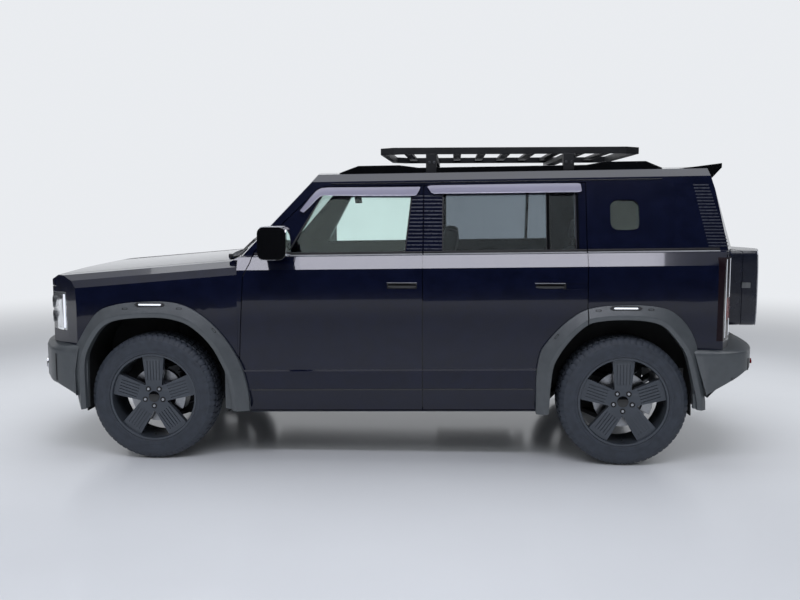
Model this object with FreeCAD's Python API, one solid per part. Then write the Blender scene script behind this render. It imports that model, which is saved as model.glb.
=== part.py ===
import FreeCAD, Part
import math
import os

V = FreeCAD.Vector

# A boxy five-door off-road 4x4 with a flat roof rack, in millimetres.
# The origin is on the floor under the middle of the vehicle, +X runs to the rear, +Y to the right, +Z up.

# Whole vehicle
length = 4785
width = 2006
height = 1880
front_overhang = 910
rear_overhang = 1075
overrun = 400

# Fits between pieces
seat_gap = 0.3
shut_gap = 5.6
seal_gap = 2
bearing_gap = 0.06
running_gap = 5

# Flat steps that stand for round forms
bar_sides = 12
pin_sides = 8
corner_steps = 5

# Wheels and tyres
tyre_diameter = 763
tyre_width = 255
tyre_shoulder = 27
sidewall_bulge = 12
tread_inset = 34
tyre_sides = 56
half_track = 850
rim_diameter = 529
rim_width = 236
rim_wall = 16
rim_flange = 12
rim_sides = 48
hub_sides = 24
spoke_tip_inset = 4.5
spoke_count = 5
spoke_face_set = 18
spoke_thickness = 42
spoke_root_half = 46
spoke_tip_half = 66
spoke_groove_count = 5
spoke_groove_width = 4
spoke_groove_depth = 5
spoke_groove_share = 0.85
hub_diameter = 176
hub_thickness = 74
bolt_circle = 114
bolt_count = 5
bolt_hole = 16
spindle_diameter = 62
disc_diameter = 330
disc_thickness = 30

# Body section: half widths come from the waist, heights are at the middle of the vehicle
flare_proud = 45
sill_z = 298
sill_inset = 50
cladding_low_z = 440
cladding_top_z = 560
cladding_proud = 9
cladding_inset = 10
waist_z = 850
shoulder_z = 1160
shoulder_inset = 5
belt_lip_z = 1235
belt_lip_inset = 43
belt_z = 1245
belt_inset = 68
rack_rise = 128
roof_side_drop = 30
gutter_drop = 75
gutter_inset = 206
roof_edge_inset = 258
rake_share = 0.013

# Walls
skin_depth = 20
door_wall = 110
pillar_wall = 48
roof_wall = 35
fender_wall = 40
hood_wall = 32
glass_thickness = 5
glass_set = 10
floor_z = 345
floor_thickness = 30
toe_z = 465
tunnel_half = 140
tunnel_height = 140

# Plan and ends of the cabin
screen_setback = 507
screen_bow = 130
screen_header = 62
header_setback = 471
cowl_z = 1206
firewall_reach = 40
tail_setback = 389.5
tail_bow = 43
tail_header_reach = 152
tail_corner_depth = 84
tail_corner_breadth = 180
tail_corner_shares = [(1, 0), (0.66, 0.31), (0, 1)]
tail_wall = 90

# Wheel arches: the opening is in shares of its reach, towards the cabin and up from the axle
arch_reach = 450
arch_shares = [(1, -0.22), (1, 0.352), (0.922, 0.574), (0.822, 0.785), (0.667, 0.963), (0.478, 1.09),
               (0.267, 1.146), (-0.267, 1.146), (-0.489, 1.09), (-0.667, 0.974), (-0.822, 0.774),
               (-0.9, 0.574), (-0.915, -0.22)]
flare_band = 62
flare_chamfer = 18
flare_foot_z = 300
liner_thickness = 8
liner_shift = 14
apron_half = 505
apron_wall = 30
rear_house_half = 690

# Doors: outlines in shares of the door's length and of its height
door_setback = 523
front_door_share = 0.534
rear_door_setback = 215
door_low_z = 308
door_top_drop = 30
front_door_shares = [(0.043, 0), (0, 0.175), (0.031, 0.608), (0.066, 0.667), (0.083, 0.716), (0.417, 0.989),
                     (0.458, 1), (1, 1), (1, 0)]
door_box_inset = 42
door_stop_inset = 27
front_window_shares = [(0.266, 0.013), (0.455, 0.91), (0.935, 0.92), (0.9, 0.013)]
rear_window_shares = [(0.123, 0.013), (0.123, 0.92), (0.756, 0.92), (0.756, 0.013)]
rear_pane_shares = [(0.776, 0.013), (0.776, 0.92), (0.931, 0.92), (0.931, 0.013)]
handle_length = 175
handle_height = 34
handle_depth = 6
handle_rise = 1060
front_handle_share = 0.89
rear_handle_share = 0.94

# Quarter window
quarter_window_length = 167
quarter_window_height = 177
quarter_window_setback = 75
quarter_window_z = 1472
quarter_window_radius = 45

# Front end
nose_setback = 92.5
nose_bow = 30
nose_half = 500
hood_half = 790
hood_rear_gap = 30
cowl_gap = 12
cowl_drop = 16
hood_pin_setback = 437.5
hood_pin_z = 1188
hinge_pin = 8
pin_reach = 48
hood_front_z = 1040
hood_slope_share = 0.085
front_shoulder_z = 1165
front_crown_z = 1240
front_edge_z = 1200
front_shoulder_inset = 33
front_edge_inset = 98
nose_shares = [(0, 0), (0, 0.62), (0.1, 0.76), (0.41, 0.856), (0.71, 0.951), (1, 1.01)]
nose_depth = 350
nose_height = 535
nose_base_z = 625
nose_corner_shares = [(0.31, 0.57), (0.78, 0.87), (1, 1)]
nose_corner_depth = 330
lamp_inner_half = 585
lamp_low_z = 770
lamp_top_z = 1005
lamp_depth = 120
lamp_rear_setback = 357.5
grille_half = 570
grille_low_z = 700
grille_top_z = 1025
grille_depth = 60
grille_border = 34
grille_bar_count = 6
grille_bar_height = 17
grille_bar_set = 14
radiator_set = 60
radiator_thickness = 45

# Bumpers
bumper_low_z = 366
bumper_mid_z = 440
bumper_high_z = 610
bumper_top_z = 694
bumper_wall = 90
bumper_nose_bow = 47
bumper_nose_shares = [(0.2, 0.69), (0.56, 0.9), (0.84, 0.985), (1, 1)]
bumper_front_depth = 500
bumper_face_half = 500
bumper_tuck_share = 0.962
rear_bumper_setback = 215.5
rear_bumper_bow = 37
rear_bumper_low_z = 415
rear_bumper_mid_z = 530
rear_bumper_depth = 460
rear_bumper_shares = [(0.1, 0.8), (0.28, 0.93), (0.56, 0.995), (1, 1)]
rear_tuck_share = 0.88

# Tail
tailgate_half = 745
tailgate_top_half = 640
tailgate_low_z = 716
tailgate_pin_setback = 28
tailgate_pin_y = 748
hinge_levels = (830, 1130)
hinge_height = 42
hinge_barrel = 16
hinge_leaf = 60
hinge_root = 24
tail_window_half = 650
tail_window_top_half = 575
tail_window_low_z = 1300
tail_window_top_z = 1612
tail_lamp_inner_half = 775
tail_lamp_low_z = 745
tail_lamp_top_z = 1228
tail_lamp_length = 118
case_half = 350
case_low_z = 740
case_top_z = 1205
case_corner = 60
case_lid_seam = 8
case_seam_set = 150
case_seam_share = 0.98

# Roof
rail_half = 620
rail_width = 42
rail_front_setback = 593
rail_rear_setback = 428.5
rail_height = 42
rail_foot_rise = 10
rail_shares = [(0, 0), (0.02, 0.35), (0.06, 1), (0.19, 1), (0.25, 0.6), (0.77, 0.6), (0.82, 1), (0.95, 1),
               (1, 0)]
rack_front_setback = 841
rack_rear_setback = 551.5
rack_half = 640
rack_frame = 38
rack_depth = 40
rack_bar_count = 9
rack_bar_width = 52
rack_bar_height = 24
rack_corner = 90
rack_hole = 9
rack_hole_set = 143
foot_length = 64
foot_width = 58
foot_front_share = 0.2
foot_rear_share = 0.725
crossbar_height = 26
spoiler_chord = 162
spoiler_root = 130
spoiler_thickness = 26
spoiler_half = 640
spoiler_lift = 34
spoiler_fin_width = 70
spoiler_fin_cut = 56
spoiler_fin_drop = 54

# Mirrors
mirror_setback = 162
mirror_length = 165
mirror_height = 189
mirror_breadth = 172
mirror_arm = 45
mirror_drop = 26
mirror_arm_height = 50
mirror_corner = 38

# Cabin inside
dash_depth = 320
dash_top_z = 1140
dash_low_z = 730
wheel_reach = 500
wheel_side = 370
wheel_z = 985
wheel_diameter = 370
wheel_grip = 30
wheel_tilt = 26
wheel_rim_sides = 30
grip_sides = 8
wheel_boss_diameter = 84
wheel_spoke_diameter = 20
wheel_spoke_turns = (0, 90, 180)
column_diameter = 50
seat_width = 520
seat_side = 412
seat_share = 0.4036
rear_seat_share = 0.7293
rear_seat_lift = 55
rear_seat_width = 1300
seat_length = 520
seat_base_z = 400
seat_cushion_z = 640
seat_back_z = 1230
seat_back_thickness = 130
seat_back_shares = (0.5, 0.65, 1.4, 1.5, 0.7)
seat_head_z = 1390
load_floor_z = 570
load_step_setback = 420

# Under the body
engine_length = 640
engine_breadth = 760
engine_top_z = 980
engine_setback = 60
subframe_half = 430
subframe_length = 420
subframe_z = 240
subframe_height = 60
subframe_bar = 70
subframe_rail = 130
tower_width = 54
arm_thickness = 26
arm_half_width = 34
arm_low_z = 215
arm_high_z = 545
rear_arm_high_z = 480
spring_seat = 110
spring_seat_height = 30
kingpin_half = 790
knuckle_width = 64
knuckle_thickness = 44
coil_diameter = 96
coil_base_half = 590
coil_top_half = 565
coil_top_z = 800
spring_offset = 95
shaft_diameter = 30
prop_diameter = 70
diff_breadth = 280
diff_height = 200
tank_length = 560
tank_breadth = 560
tank_height = 100
tank_setback = 560
pipe_diameter = 50
pipe_side = 210
silencer_length = 520
silencer_breadth = 260
silencer_height = 150
silencer_setback = 560
pipe_axle_z = 333
knee_lap = 8
hanger_width = 24
hanger_height = 26
hanger_places = (-700, 0, 700)
flap_height = 185
flap_thickness = 10
flap_width = 250
flap_low_z = 350
marker_length = 130
marker_height = 14
marker_depth = 5

# Places worked out from the sizes above
front_axle_x = -length / 2 + front_overhang
rear_axle_x = length / 2 - rear_overhang
wheelbase = rear_axle_x - front_axle_x
nose_x = length / 2 - nose_setback
lamp_rear_x = length / 2 - lamp_rear_setback
rear_bumper_x = length / 2 - rear_bumper_setback
tail_x = length / 2 - tail_setback
tailgate_pin_x = tail_x - tailgate_pin_setback
axle_z = tyre_diameter / 2
waist_half = width / 2 - flare_proud
roof_z = height - rack_rise
roof_side_z = roof_z - roof_side_drop
gutter_z = roof_z - gutter_drop
screen_x = front_axle_x + screen_setback
door_x = front_axle_x + door_setback
rear_door_end_x = rear_axle_x - rear_door_setback
front_door_length = (rear_door_end_x - door_x) * front_door_share
split_x = door_x + front_door_length
rear_door_length = rear_door_end_x - split_x
door_top_z = gutter_z - door_top_drop
door_height = door_top_z - door_low_z
front_limit_x = screen_x - firewall_reach
screen_lean = header_setback / (gutter_z - cowl_z)
tail_lean = tail_header_reach / (roof_z - belt_z)
rail_length = tail_x - rail_rear_setback - screen_x - rail_front_setback
rack_length = tail_x - rack_rear_setback - screen_x - rack_front_setback
tail_belt_z = belt_z + rake_share * tail_x
engine_low_z = subframe_z + subframe_height + seat_gap
flare_end_z = bumper_top_z + seat_gap
diff_length = subframe_length - subframe_bar * 2 - seat_gap * 2
rear_limit_x = length / 2


def wire(points, bows=None):
    """Closed wire through the points; bows gives the point that an arc passes, by the number of its side."""
    edges = []
    for number, start in enumerate(points):
        end = points[(number + 1) % len(points)]
        if bows and number in bows:
            edges.append(Part.Arc(start, bows[number], end).toShape())
        else:
            edges.append(Part.makeLine(start, end))
    return Part.Wire(edges)


def swept(points, direction, bows=None):
    """Solid swept from a flat outline along a straight direction."""
    return Part.Face(wire(points, bows)).extrude(direction)


def across(outline, y_from, y_to):
    """Side outline of (x, z) points, swept across the vehicle."""
    points = [V(x, y_from, z) for x, z in outline]
    return swept(points, V(0, y_to - y_from, 0))


def upward(outline, z_from, z_to, bows=None, lean=0):
    """Plan outline of (x, y) points, swept up; lean moves it to the rear as it rises."""
    points = [V(x, y, z_from) for x, y in outline]
    arcs = {side: V(x, y, z_from) for side, (x, y) in (bows or {}).items()}
    rise = z_to - z_from
    return swept(points, V(rise * lean, 0, rise), arcs)


def along(section, x_from, x_to, bows=None, climb=rake_share, square=False):
    """Section of (y, z) points, drawn at x = 0 and swept to the rear with a steady climb.

    A square section is drawn at right angles to the sweep, so that its arcs stay round.
    """
    def start(y, z):
        x = x_from - (climb * z / (1 + climb ** 2) if square else 0)
        return V(x, y, z + climb * x)
    points = [start(y, z) for y, z in section]
    arcs = {side: start(y, z) for side, (y, z) in (bows or {}).items()}
    run = x_to - x_from
    return swept(points, V(run, 0, climb * run), arcs)


def box(x_from, x_to, y_from, y_to, z_from, z_to):
    return Part.makeBox(x_to - x_from, y_to - y_from, z_to - z_from, V(x_from, y_from, z_from))


def rod(start, end, diameter):
    """Round bar between two points."""
    return Part.makeCylinder(diameter / 2, (end - start).Length, start, end - start)


def bar(start, end, diameter):
    """Bar with flat sides between two points, where a round one would only add faces."""
    return many_sided(start, end - start, diameter, bar_sides)


def bore_size(diameter):
    """Corner to corner size of a flat-sided bore that a pin of the diameter turns in."""
    return (diameter + bearing_gap * 2) / math.cos(math.pi / pin_sides)


def rounded(x_from, x_to, z_from, z_to, radius):
    """Side outline of a rectangle with its corners rounded in short straight steps."""
    centres = [(x_to - radius, z_to - radius), (x_from + radius, z_to - radius),
               (x_from + radius, z_from + radius), (x_to - radius, z_from + radius)]
    points = []
    for quarter, (x, z) in enumerate(centres):
        for step in range(corner_steps + 1):
            turn = math.pi / 2 * (quarter + step / corner_steps)
            points.append((x + radius * math.cos(turn), z + radius * math.sin(turn)))
    return points


def turned(profile, sides):
    """Ring about the Y axis from a closed (radius, y) profile, in that many flat steps round."""
    rings = []
    for number in range(sides):
        turn = 2 * math.pi * number / sides
        rings.append([V(radius * math.sin(turn), y, radius * math.cos(turn)) for radius, y in profile])
    faces = []
    for ring, ahead in zip(rings, rings[1:] + rings[:1]):
        for point in range(len(profile)):
            after = (point + 1) % len(profile)
            faces.append(Part.Face(wire([ring[point], ring[after], ahead[after], ahead[point]])))
    return Part.makeSolid(Part.makeShell(faces))


def many_sided(centre, direction, diameter, sides):
    """Prism on a regular outline round a line from the centre, as long as the direction."""
    turns = [2 * math.pi * number / sides for number in range(sides)]
    ring = [V(math.cos(turn), math.sin(turn), 0) * (diameter / 2) for turn in turns]
    shape = swept(ring, V(0, 0, direction.Length))
    shape.Placement = FreeCAD.Placement(centre, FreeCAD.Rotation(V(0, 0, 1), direction))
    return shape


def mirrored(shape):
    return shape.mirror(V(0, 0, 0), V(0, 1, 0))


def pair(shape):
    """The piece on the right and its twin on the left, as two solids."""
    return Part.makeCompound([shape, mirrored(shape)])


def handed(shape, side):
    """A piece drawn on the right, for the side asked for."""
    return shape if side == "right" else mirrored(shape)


def placed(shares, x_from, x_size, z_from, z_size):
    """Side outline from shares of a length and a height, with the body's rake."""
    points = [(x_from + s * x_size, z_from + t * z_size) for s, t in shares]
    return [(x, z + rake_share * x) for x, z in points]


def shrunk(outline, inset):
    """Side outline moved inwards by the inset."""
    flat = wire([V(x, z, 0) for x, z in outline])
    smaller = flat.makeOffset2D(-inset, 2)
    return [(vertex.X, vertex.Y) for vertex in smaller.OrderedVertexes]


# Body section


def low_side(half):
    """Section of the sill and its cladding, up to the start of the curved flank."""
    return [(half - sill_inset, sill_z), (half - cladding_inset, cladding_low_z),
            (half - cladding_inset, cladding_top_z - cladding_proud),
            (half - cladding_inset - cladding_proud, cladding_top_z)]


def outer_section(depth=0):
    """Half outline of the outer skin from the sill to the roof edge, moved in by the depth."""
    half = waist_half - depth
    side = low_side(half)
    side += [(half - shoulder_inset, shoulder_z), (half - belt_lip_inset, belt_lip_z),
             (half - belt_inset, belt_z), (half - gutter_inset, gutter_z),
             (half - roof_edge_inset, roof_side_z)]
    last = len(side) - 1
    section = side + [(-y, z) for y, z in reversed(side)]
    bows = {3: (half, waist_z), last: (0, roof_z), len(section) - 5: (-half, waist_z)}
    return section, bows


def core(depth=0):
    """The cabin's full-length form inside the skin of that depth."""
    section, bows = outer_section(depth)
    return along(section, front_limit_x - overrun, rear_limit_x + overrun, bows, square=True)


def inner_core():
    """The hollow of the cabin as a section: doors' depth below the belt, pillars' depth above."""
    low_half = waist_half - door_wall
    belt_half = waist_half - belt_inset - pillar_wall
    top_half = waist_half - gutter_inset - pillar_wall
    roof_half = top_half - roof_wall
    side = [(low_half, floor_z), (low_half, belt_lip_z), (belt_half, belt_z), (top_half, gutter_z),
            (roof_half, roof_side_z - roof_wall)]
    last = len(side) - 1
    section = side + [(-y, z) for y, z in reversed(side)]
    bows = {last: (0, roof_z - roof_wall)}
    return along(section, front_limit_x - overrun, rear_limit_x + overrun, bows, square=True)


# Plan and ends of the cabin


def tail_plan(x_from, inset=0):
    """Plan outline from a front line to the bowed tail with cut corners."""
    half = waist_half + overrun
    face_x = tail_x - tail_bow - inset
    corner = [(face_x - s * tail_corner_depth, waist_half - t * tail_corner_breadth)
              for s, t in tail_corner_shares]
    right = [(x_from, half), (face_x - tail_corner_depth, half)] + corner
    plan = right + [(x, -y) for x, y in reversed(right)]
    return plan, {len(right) - 1: (tail_x - inset, 0)}


def screen_plan(inset=0):
    """Plan outline behind the bowed windscreen, at the height of the cowl."""
    half = waist_half - belt_inset
    base_x = screen_x + inset
    plan = [(base_x, half), (base_x, -half), (rear_limit_x + overrun, -half), (rear_limit_x + overrun, half)]
    return plan, {0: (base_x - screen_bow, 0)}


def cabin_block(screen_inset=0, tail_inset=0):
    """Room between the leaning windscreen, the leaning rear window and the upright lower ends."""
    top_z = height + overrun
    belt_rise = belt_z - cowl_z
    low_plan, low_bows = tail_plan(front_limit_x, tail_inset)
    lower = upward(low_plan, 0, top_z, low_bows)
    top_line = [(front_limit_x, 0), (rear_limit_x, 0), (rear_limit_x, belt_z + rake_share * rear_limit_x),
                (screen_x + belt_rise * screen_lean, belt_z + rake_share * screen_x),
                (front_limit_x, cowl_z + rake_share * front_limit_x)]
    lower = lower.common(across(top_line, -width, width))
    front_plan, front_bows = screen_plan(screen_inset)
    front = upward(front_plan, cowl_z + rake_share * screen_x, top_z, front_bows, screen_lean)
    rear_plan, rear_bows = tail_plan(front_limit_x - overrun, tail_inset)
    rear = upward(rear_plan, tail_belt_z, top_z, rear_bows, -tail_lean)
    rear = rear.fuse(upward(rear_plan, 0, tail_belt_z, rear_bows))
    return lower.fuse(front.common(rear)).removeSplitter()


def cabin_shell():
    hollow_block = cabin_block(screen_header, tail_wall)
    open_front = box(front_limit_x - overrun, screen_x + screen_header, -width, width, floor_z,
                     cowl_z - hood_wall)
    hollow = inner_core().common(hollow_block.fuse(open_front))
    return core().common(cabin_block()).cut(hollow)


def arch_outline(axle_x, towards_rear, scale=1):
    """Outline of a wheel arch's opening, or of a larger one like it; it closes below the sill."""
    reach = arch_reach * scale
    turn = 1 if towards_rear else -1
    return [(axle_x + turn * s * reach, axle_z + t * reach) for s, t in arch_shares]


def arch_cut(axle_x, towards_rear, half_from=0, scale=1):
    outline = arch_outline(axle_x, towards_rear, scale)
    low = [(outline[-1][0], -overrun), (outline[0][0], -overrun)]
    return across(outline + low, half_from, width)


# Doors


def front_door_outline():
    return placed(front_door_shares, door_x, front_door_length, door_low_z, door_height)


def rear_door_outline():
    shares = [(0, 0), (0, 1), (1, 1), (1, 0)]
    return placed(shares, split_x, rear_door_length, door_low_z, door_height)


def rear_door_panel(outline_change):
    """Rear door outline, less what the rear wheel arch takes, as a prism on the right."""
    outline = shrunk(rear_door_outline(), outline_change)
    scale = 1 + outline_change / arch_reach
    return across(outline, 0, width).cut(arch_cut(rear_axle_x, False, scale=scale))


def front_door_panel(outline_change):
    return across(shrunk(front_door_outline(), outline_change), 0, width)


def window_outline(shares, x_from, x_size):
    return placed(shares, x_from, x_size, belt_z, door_top_z - belt_z)


def front_windows():
    return [window_outline(front_window_shares, door_x, front_door_length)]


def rear_windows():
    both = (rear_window_shares, rear_pane_shares)
    return [window_outline(shares, split_x, rear_door_length) for shares in both]


def door_solid(shell, panel, windows, handle_x):
    """A door: its skin out to the shut line, its box set in from it, its windows and handle recess cut."""
    whole = shell.common(panel(shut_gap / 2))
    deep = core(skin_depth)
    skin = whole.cut(deep)
    inner = whole.common(deep).common(panel(door_box_inset))
    door = skin.fuse(inner).removeSplitter()
    for outline in windows:
        door = door.cut(across(outline, 0, width))
    half_z = handle_height / 2
    recess = box(handle_x - handle_length / 2, handle_x + handle_length / 2, 0, width,
                 handle_rise - half_z, handle_rise + half_z)
    return door.cut(recess.common(core().cut(core(handle_depth))))


def door_glass(windows):
    pane = core(glass_set).cut(core(glass_set + glass_thickness))
    return Part.makeCompound([pane.common(across(outline, 0, width)) for outline in windows])


# Body shell pieces


def quarter_window(half_from):
    """Prism of the small rounded window behind the rear door."""
    x_from = rear_axle_x - quarter_window_setback
    z_from = quarter_window_z - quarter_window_height / 2
    outline = rounded(x_from, x_from + quarter_window_length, z_from, z_from + quarter_window_height,
                      quarter_window_radius)
    return across(outline, half_from, width)


def screen_opening(x_to):
    """Windscreen opening seen from the front, swept back through the front wall."""
    low_half = waist_half - belt_inset - pillar_wall - glass_thickness
    top_half = waist_half - gutter_inset - pillar_wall - glass_thickness
    low_z = cowl_z + floor_thickness
    section = [(low_half, low_z), (top_half, gutter_z), (-top_half, gutter_z), (-low_half, low_z)]
    return along(section, front_limit_x - overrun, x_to)


def tail_opening():
    section = [(tail_window_half, tail_window_low_z), (tail_window_top_half, tail_window_top_z),
               (-tail_window_top_half, tail_window_top_z), (-tail_window_half, tail_window_low_z)]
    return along(section, rear_axle_x + arch_reach / 2, rear_limit_x, climb=0)


def tailgate_zone(outset):
    """The tailgate's outline seen from behind, grown by the outset."""
    top_z = door_top_z + outset
    section = [(tailgate_half + outset, tailgate_low_z - outset), (tailgate_half + outset, tail_belt_z),
               (tailgate_top_half + outset, top_z), (-tailgate_top_half - outset, top_z),
               (-tailgate_half - outset, tail_belt_z), (-tailgate_half - outset, tailgate_low_z - outset)]
    x_from = tail_x - tail_wall - tail_corner_depth - tail_lean * (roof_z - belt_z)
    return along(section, x_from, rear_limit_x, climb=0)


def hinge_barrels(levels, leaf):
    """Barrels on the tailgate's hinge line with leaves of that reach along Y, between heights given in pairs."""
    pieces = []
    for z_from, z_to in levels:
        centre = V(tailgate_pin_x, tailgate_pin_y, z_from)
        pieces.append(bar(centre, V(tailgate_pin_x, tailgate_pin_y, z_to), hinge_barrel))
        y_from, y_to = sorted((tailgate_pin_y, tailgate_pin_y + leaf))
        pieces.append(box(tailgate_pin_x - hinge_root, tailgate_pin_x + hinge_barrel / 2, y_from, y_to,
                          z_from, z_to))
    return pieces


def hinge_pins(diameter):
    reach = hinge_height / 2 + seat_gap + hinge_barrel
    return [many_sided(V(tailgate_pin_x, tailgate_pin_y, level - reach), V(0, 0, reach * 2), diameter, pin_sides)
            for level in hinge_levels]


def body_hinges():
    """Knuckles above and below each of the tailgate's barrels, with the pins through them."""
    half = hinge_height / 2 + seat_gap
    levels = [(level - half - hinge_barrel, level - half) for level in hinge_levels]
    levels += [(level + half, level + half + hinge_barrel) for level in hinge_levels]
    reach = tail_lamp_inner_half - tailgate_pin_y - seat_gap
    return hinge_barrels(levels, reach) + hinge_pins(hinge_pin)


def gate_hinges():
    levels = [(level - hinge_height / 2, level + hinge_height / 2) for level in hinge_levels]
    return hinge_barrels(levels, -hinge_leaf)


def tail_cut(frame):
    """Room for the tailgate in the body: its skin with the shut gap, and its box behind the stop flange."""
    skin = tailgate_zone(shut_gap).cut(cabin_block(tail_inset=skin_depth + seal_gap))
    return frame.cut(skin).cut(tailgate_zone(-door_stop_inset))


def tail_lamp_zone(outset):
    x_from = tail_x - tail_bow - tail_lamp_length - outset
    return box(x_from, rear_limit_x, tail_lamp_inner_half - outset, width,
               tail_lamp_low_z - outset, tail_lamp_top_z + outset)


def side_frame(shell):
    """Sill, pillars, cant rail and quarter panel of the right side in one pressing."""
    zone = box(front_limit_x, rear_limit_x, apron_half + door_wall, width, 0, height)
    sill_in = box(front_limit_x, rear_limit_x, 0, waist_half - door_wall - seat_gap, 0, floor_z + seat_gap)
    frame = shell.common(zone).cut(roof_zone()).cut(sill_in)
    deep = core(skin_depth + seal_gap)
    for panel in (front_door_panel, rear_door_panel):
        frame = frame.cut(panel(-shut_gap / 2).cut(deep))
        frame = frame.cut(panel(door_stop_inset))
    frame = frame.cut(arch_cut(rear_axle_x, False))
    frame = tail_cut(frame).cut(quarter_window(0)).cut(tail_lamp_zone(seat_gap))
    frame = frame.cut(front_clip_reach(waist_half - fender_wall - skin_depth)).cut(wing_band())
    frame = frame.cut(hood_room(shut_gap, cowl_z - hood_wall * 2))
    house = arch_cut(rear_axle_x, False, rear_house_half, 1 + (liner_thickness + seat_gap) / arch_reach)
    frame = frame.cut(house.common(box(0, length, 0, waist_half - door_wall, 0, height)))
    frame = frame.cut(screen_opening(screen_x + wheelbase / 2)).cut(rear_bumper_room())
    return largest(frame)


def largest(shape):
    """The main solid of a cut shape, without the loose slivers beside it."""
    return max(shape.Solids, key=lambda solid: solid.Volume)


def roof_zone():
    half = waist_half - roof_edge_inset - roof_wall
    return box(front_limit_x, rear_limit_x + overrun, -half, half, gutter_z - roof_wall * 2, height)


def roof_panel(shell):
    roof = tail_cut(shell.common(roof_zone()))
    return largest(roof.cut(screen_opening(screen_x + wheelbase / 2)))


def wing_band():
    """Room that the wing's wall takes."""
    return clip_core().cut(clip_core(fender_wall + seat_gap, hood_wall + seat_gap))


def front_clip_reach(half_from):
    """Room of the front wing on the right, back to the door's leading edge."""
    return box(-length, door_x - shut_gap / 2, half_from, width, 0, cowl_z)


def floor_pan():
    """Firewall, foot well, floor, seat step and load floor as one bent sheet, with the sills' inner rails."""
    toe_x = front_limit_x + screen_bow
    step_x = rear_axle_x - load_step_setback
    low_z = floor_z - floor_thickness
    rise_z = load_floor_z - floor_thickness
    top_z = cowl_z - hood_wall - floor_thickness
    back_x = tail_x - tail_bow - tail_corner_depth - tail_wall
    inner_x = front_limit_x + floor_thickness
    ramp_x = step_x + rise_z - low_z
    line = [(front_limit_x, top_z), (front_limit_x, toe_z), (toe_x, low_z), (step_x, low_z), (ramp_x, rise_z),
            (back_x, rise_z), (back_x, load_floor_z), (ramp_x, load_floor_z), (step_x, floor_z),
            (toe_x, floor_z), (inner_x, toe_z), (inner_x, top_z)]
    half = waist_half - door_wall - seat_gap
    sheet = across(line, -half, half)
    cutter = arch_cut(rear_axle_x, False, rear_house_half, 1 + (liner_thickness + seat_gap) / arch_reach)
    sheet = sheet.cut(cutter).cut(mirrored(cutter))
    tunnel_z = floor_z + tunnel_height
    tunnel_end_x = step_x + tunnel_height
    tunnel = box(front_limit_x, tunnel_end_x, -tunnel_half, tunnel_half, low_z, tunnel_z)
    trough = box(front_limit_x - overrun, tunnel_end_x, -tunnel_half + floor_thickness,
                 tunnel_half - floor_thickness, 0, tunnel_z - floor_thickness)
    return sheet.fuse(tunnel).cut(trough).removeSplitter()


# Front end


def clip_section(depth_side=0, depth_top=0):
    """Section of the wings and hood, at the cowl."""
    half = waist_half - depth_side
    side = low_side(half)
    side += [(half - shoulder_inset, shoulder_z - skin_depth * 2),
             (half - front_shoulder_inset, front_shoulder_z - depth_top),
             (half - front_edge_inset, front_edge_z - depth_top)]
    last = len(side) - 1
    section = side + [(-y, z) for y, z in reversed(side)]
    bows = {3: (half, waist_z), last: (0, front_crown_z - depth_top), len(section) - 5: (-half, waist_z)}
    return section, bows


def clip_core(depth_side=0, depth_top=0):
    """Form of the front end before its nose is shaped; it falls towards the front."""
    section, bows = clip_section(depth_side, depth_top)
    drawn = [(y, z - hood_slope_share * screen_x if z > waist_z else z) for y, z in section]
    arcs = {side: (y, z - hood_slope_share * screen_x if z > waist_z else z) for side, (y, z) in bows.items()}
    return along(drawn, -length / 2, door_x - shut_gap / 2, arcs, hood_slope_share)


def nose_plan(inset=0):
    face_x = -nose_x + nose_bow + inset
    half = waist_half - inset
    corner = [(face_x + s * nose_corner_depth, nose_half + t * (half - nose_half))
              for s, t in nose_corner_shares]
    right = [(0, half + overrun), (face_x + nose_corner_depth, half + overrun)]
    right = right + list(reversed(corner)) + [(face_x, nose_half)]
    plan = right + [(x, -y) for x, y in reversed(right)]
    return plan, {len(right) - 1: (-nose_x + inset, 0)}


def nose_side(inset=0):
    """Side outline of the nose, from the bumper over the grille to the hood."""
    face = [(-nose_x + inset + s * nose_depth, nose_base_z + t * nose_height) for s, t in nose_shares]
    last_x, last_z = face[-1]
    rise = (height - last_z) / 2
    return [(0, 0), (-nose_x + inset, 0)] + face + [(last_x + rise * 2, last_z + rise), (0, last_z + rise)]


def clip_block(inset=0):
    plan, bows = nose_plan(inset)
    side = [(x, z - (inset if z > nose_base_z + nose_height / 2 else 0)) for x, z in nose_side(inset)]
    return upward(plan, 0, height, bows).common(across(side, -width, width))


def clip_shell():
    outer = clip_core().common(clip_block())
    hollow = clip_core(fender_wall, hood_wall).common(clip_block(fender_wall))
    return outer.cut(hollow.fuse(box(-length, 0, -width, width, 0, sill_z)))


def hood_room(outset, z_from, rear_gap=hood_rear_gap):
    """Room over the hood's plan: its rear edge follows the foot of the windscreen."""
    half = waist_half - belt_inset
    rear_x = screen_x - rear_gap + outset
    plan = [(rear_x, half), (rear_x, -half), (-length, -half), (-length, half)]
    room = upward(plan, z_from, height, {0: (rear_x - screen_bow, 0)})
    return room.common(box(-length, 0, -hood_half - outset, hood_half + outset, 0, height))


def hood_pin(reach, diameter):
    """Hinge pin on the right, from the wing into the hood's rear corner."""
    pin_x = front_axle_x + hood_pin_setback
    half_from = hood_half + shut_gap - reach
    return many_sided(V(pin_x, half_from, hood_pin_z), V(0, reach, 0), diameter, pin_sides)


def hood(shell):
    panel = largest(shell.common(hood_room(-shut_gap / 2, hood_front_z)))
    bore = hood_pin(pin_reach + running_gap, bore_size(hinge_pin))
    return panel.cut(bore).cut(mirrored(bore))


def lamp_zone(outset=0):
    return box(-length, -lamp_rear_x + outset, lamp_inner_half - outset, width, lamp_low_z - outset,
               lamp_top_z + outset)


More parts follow.
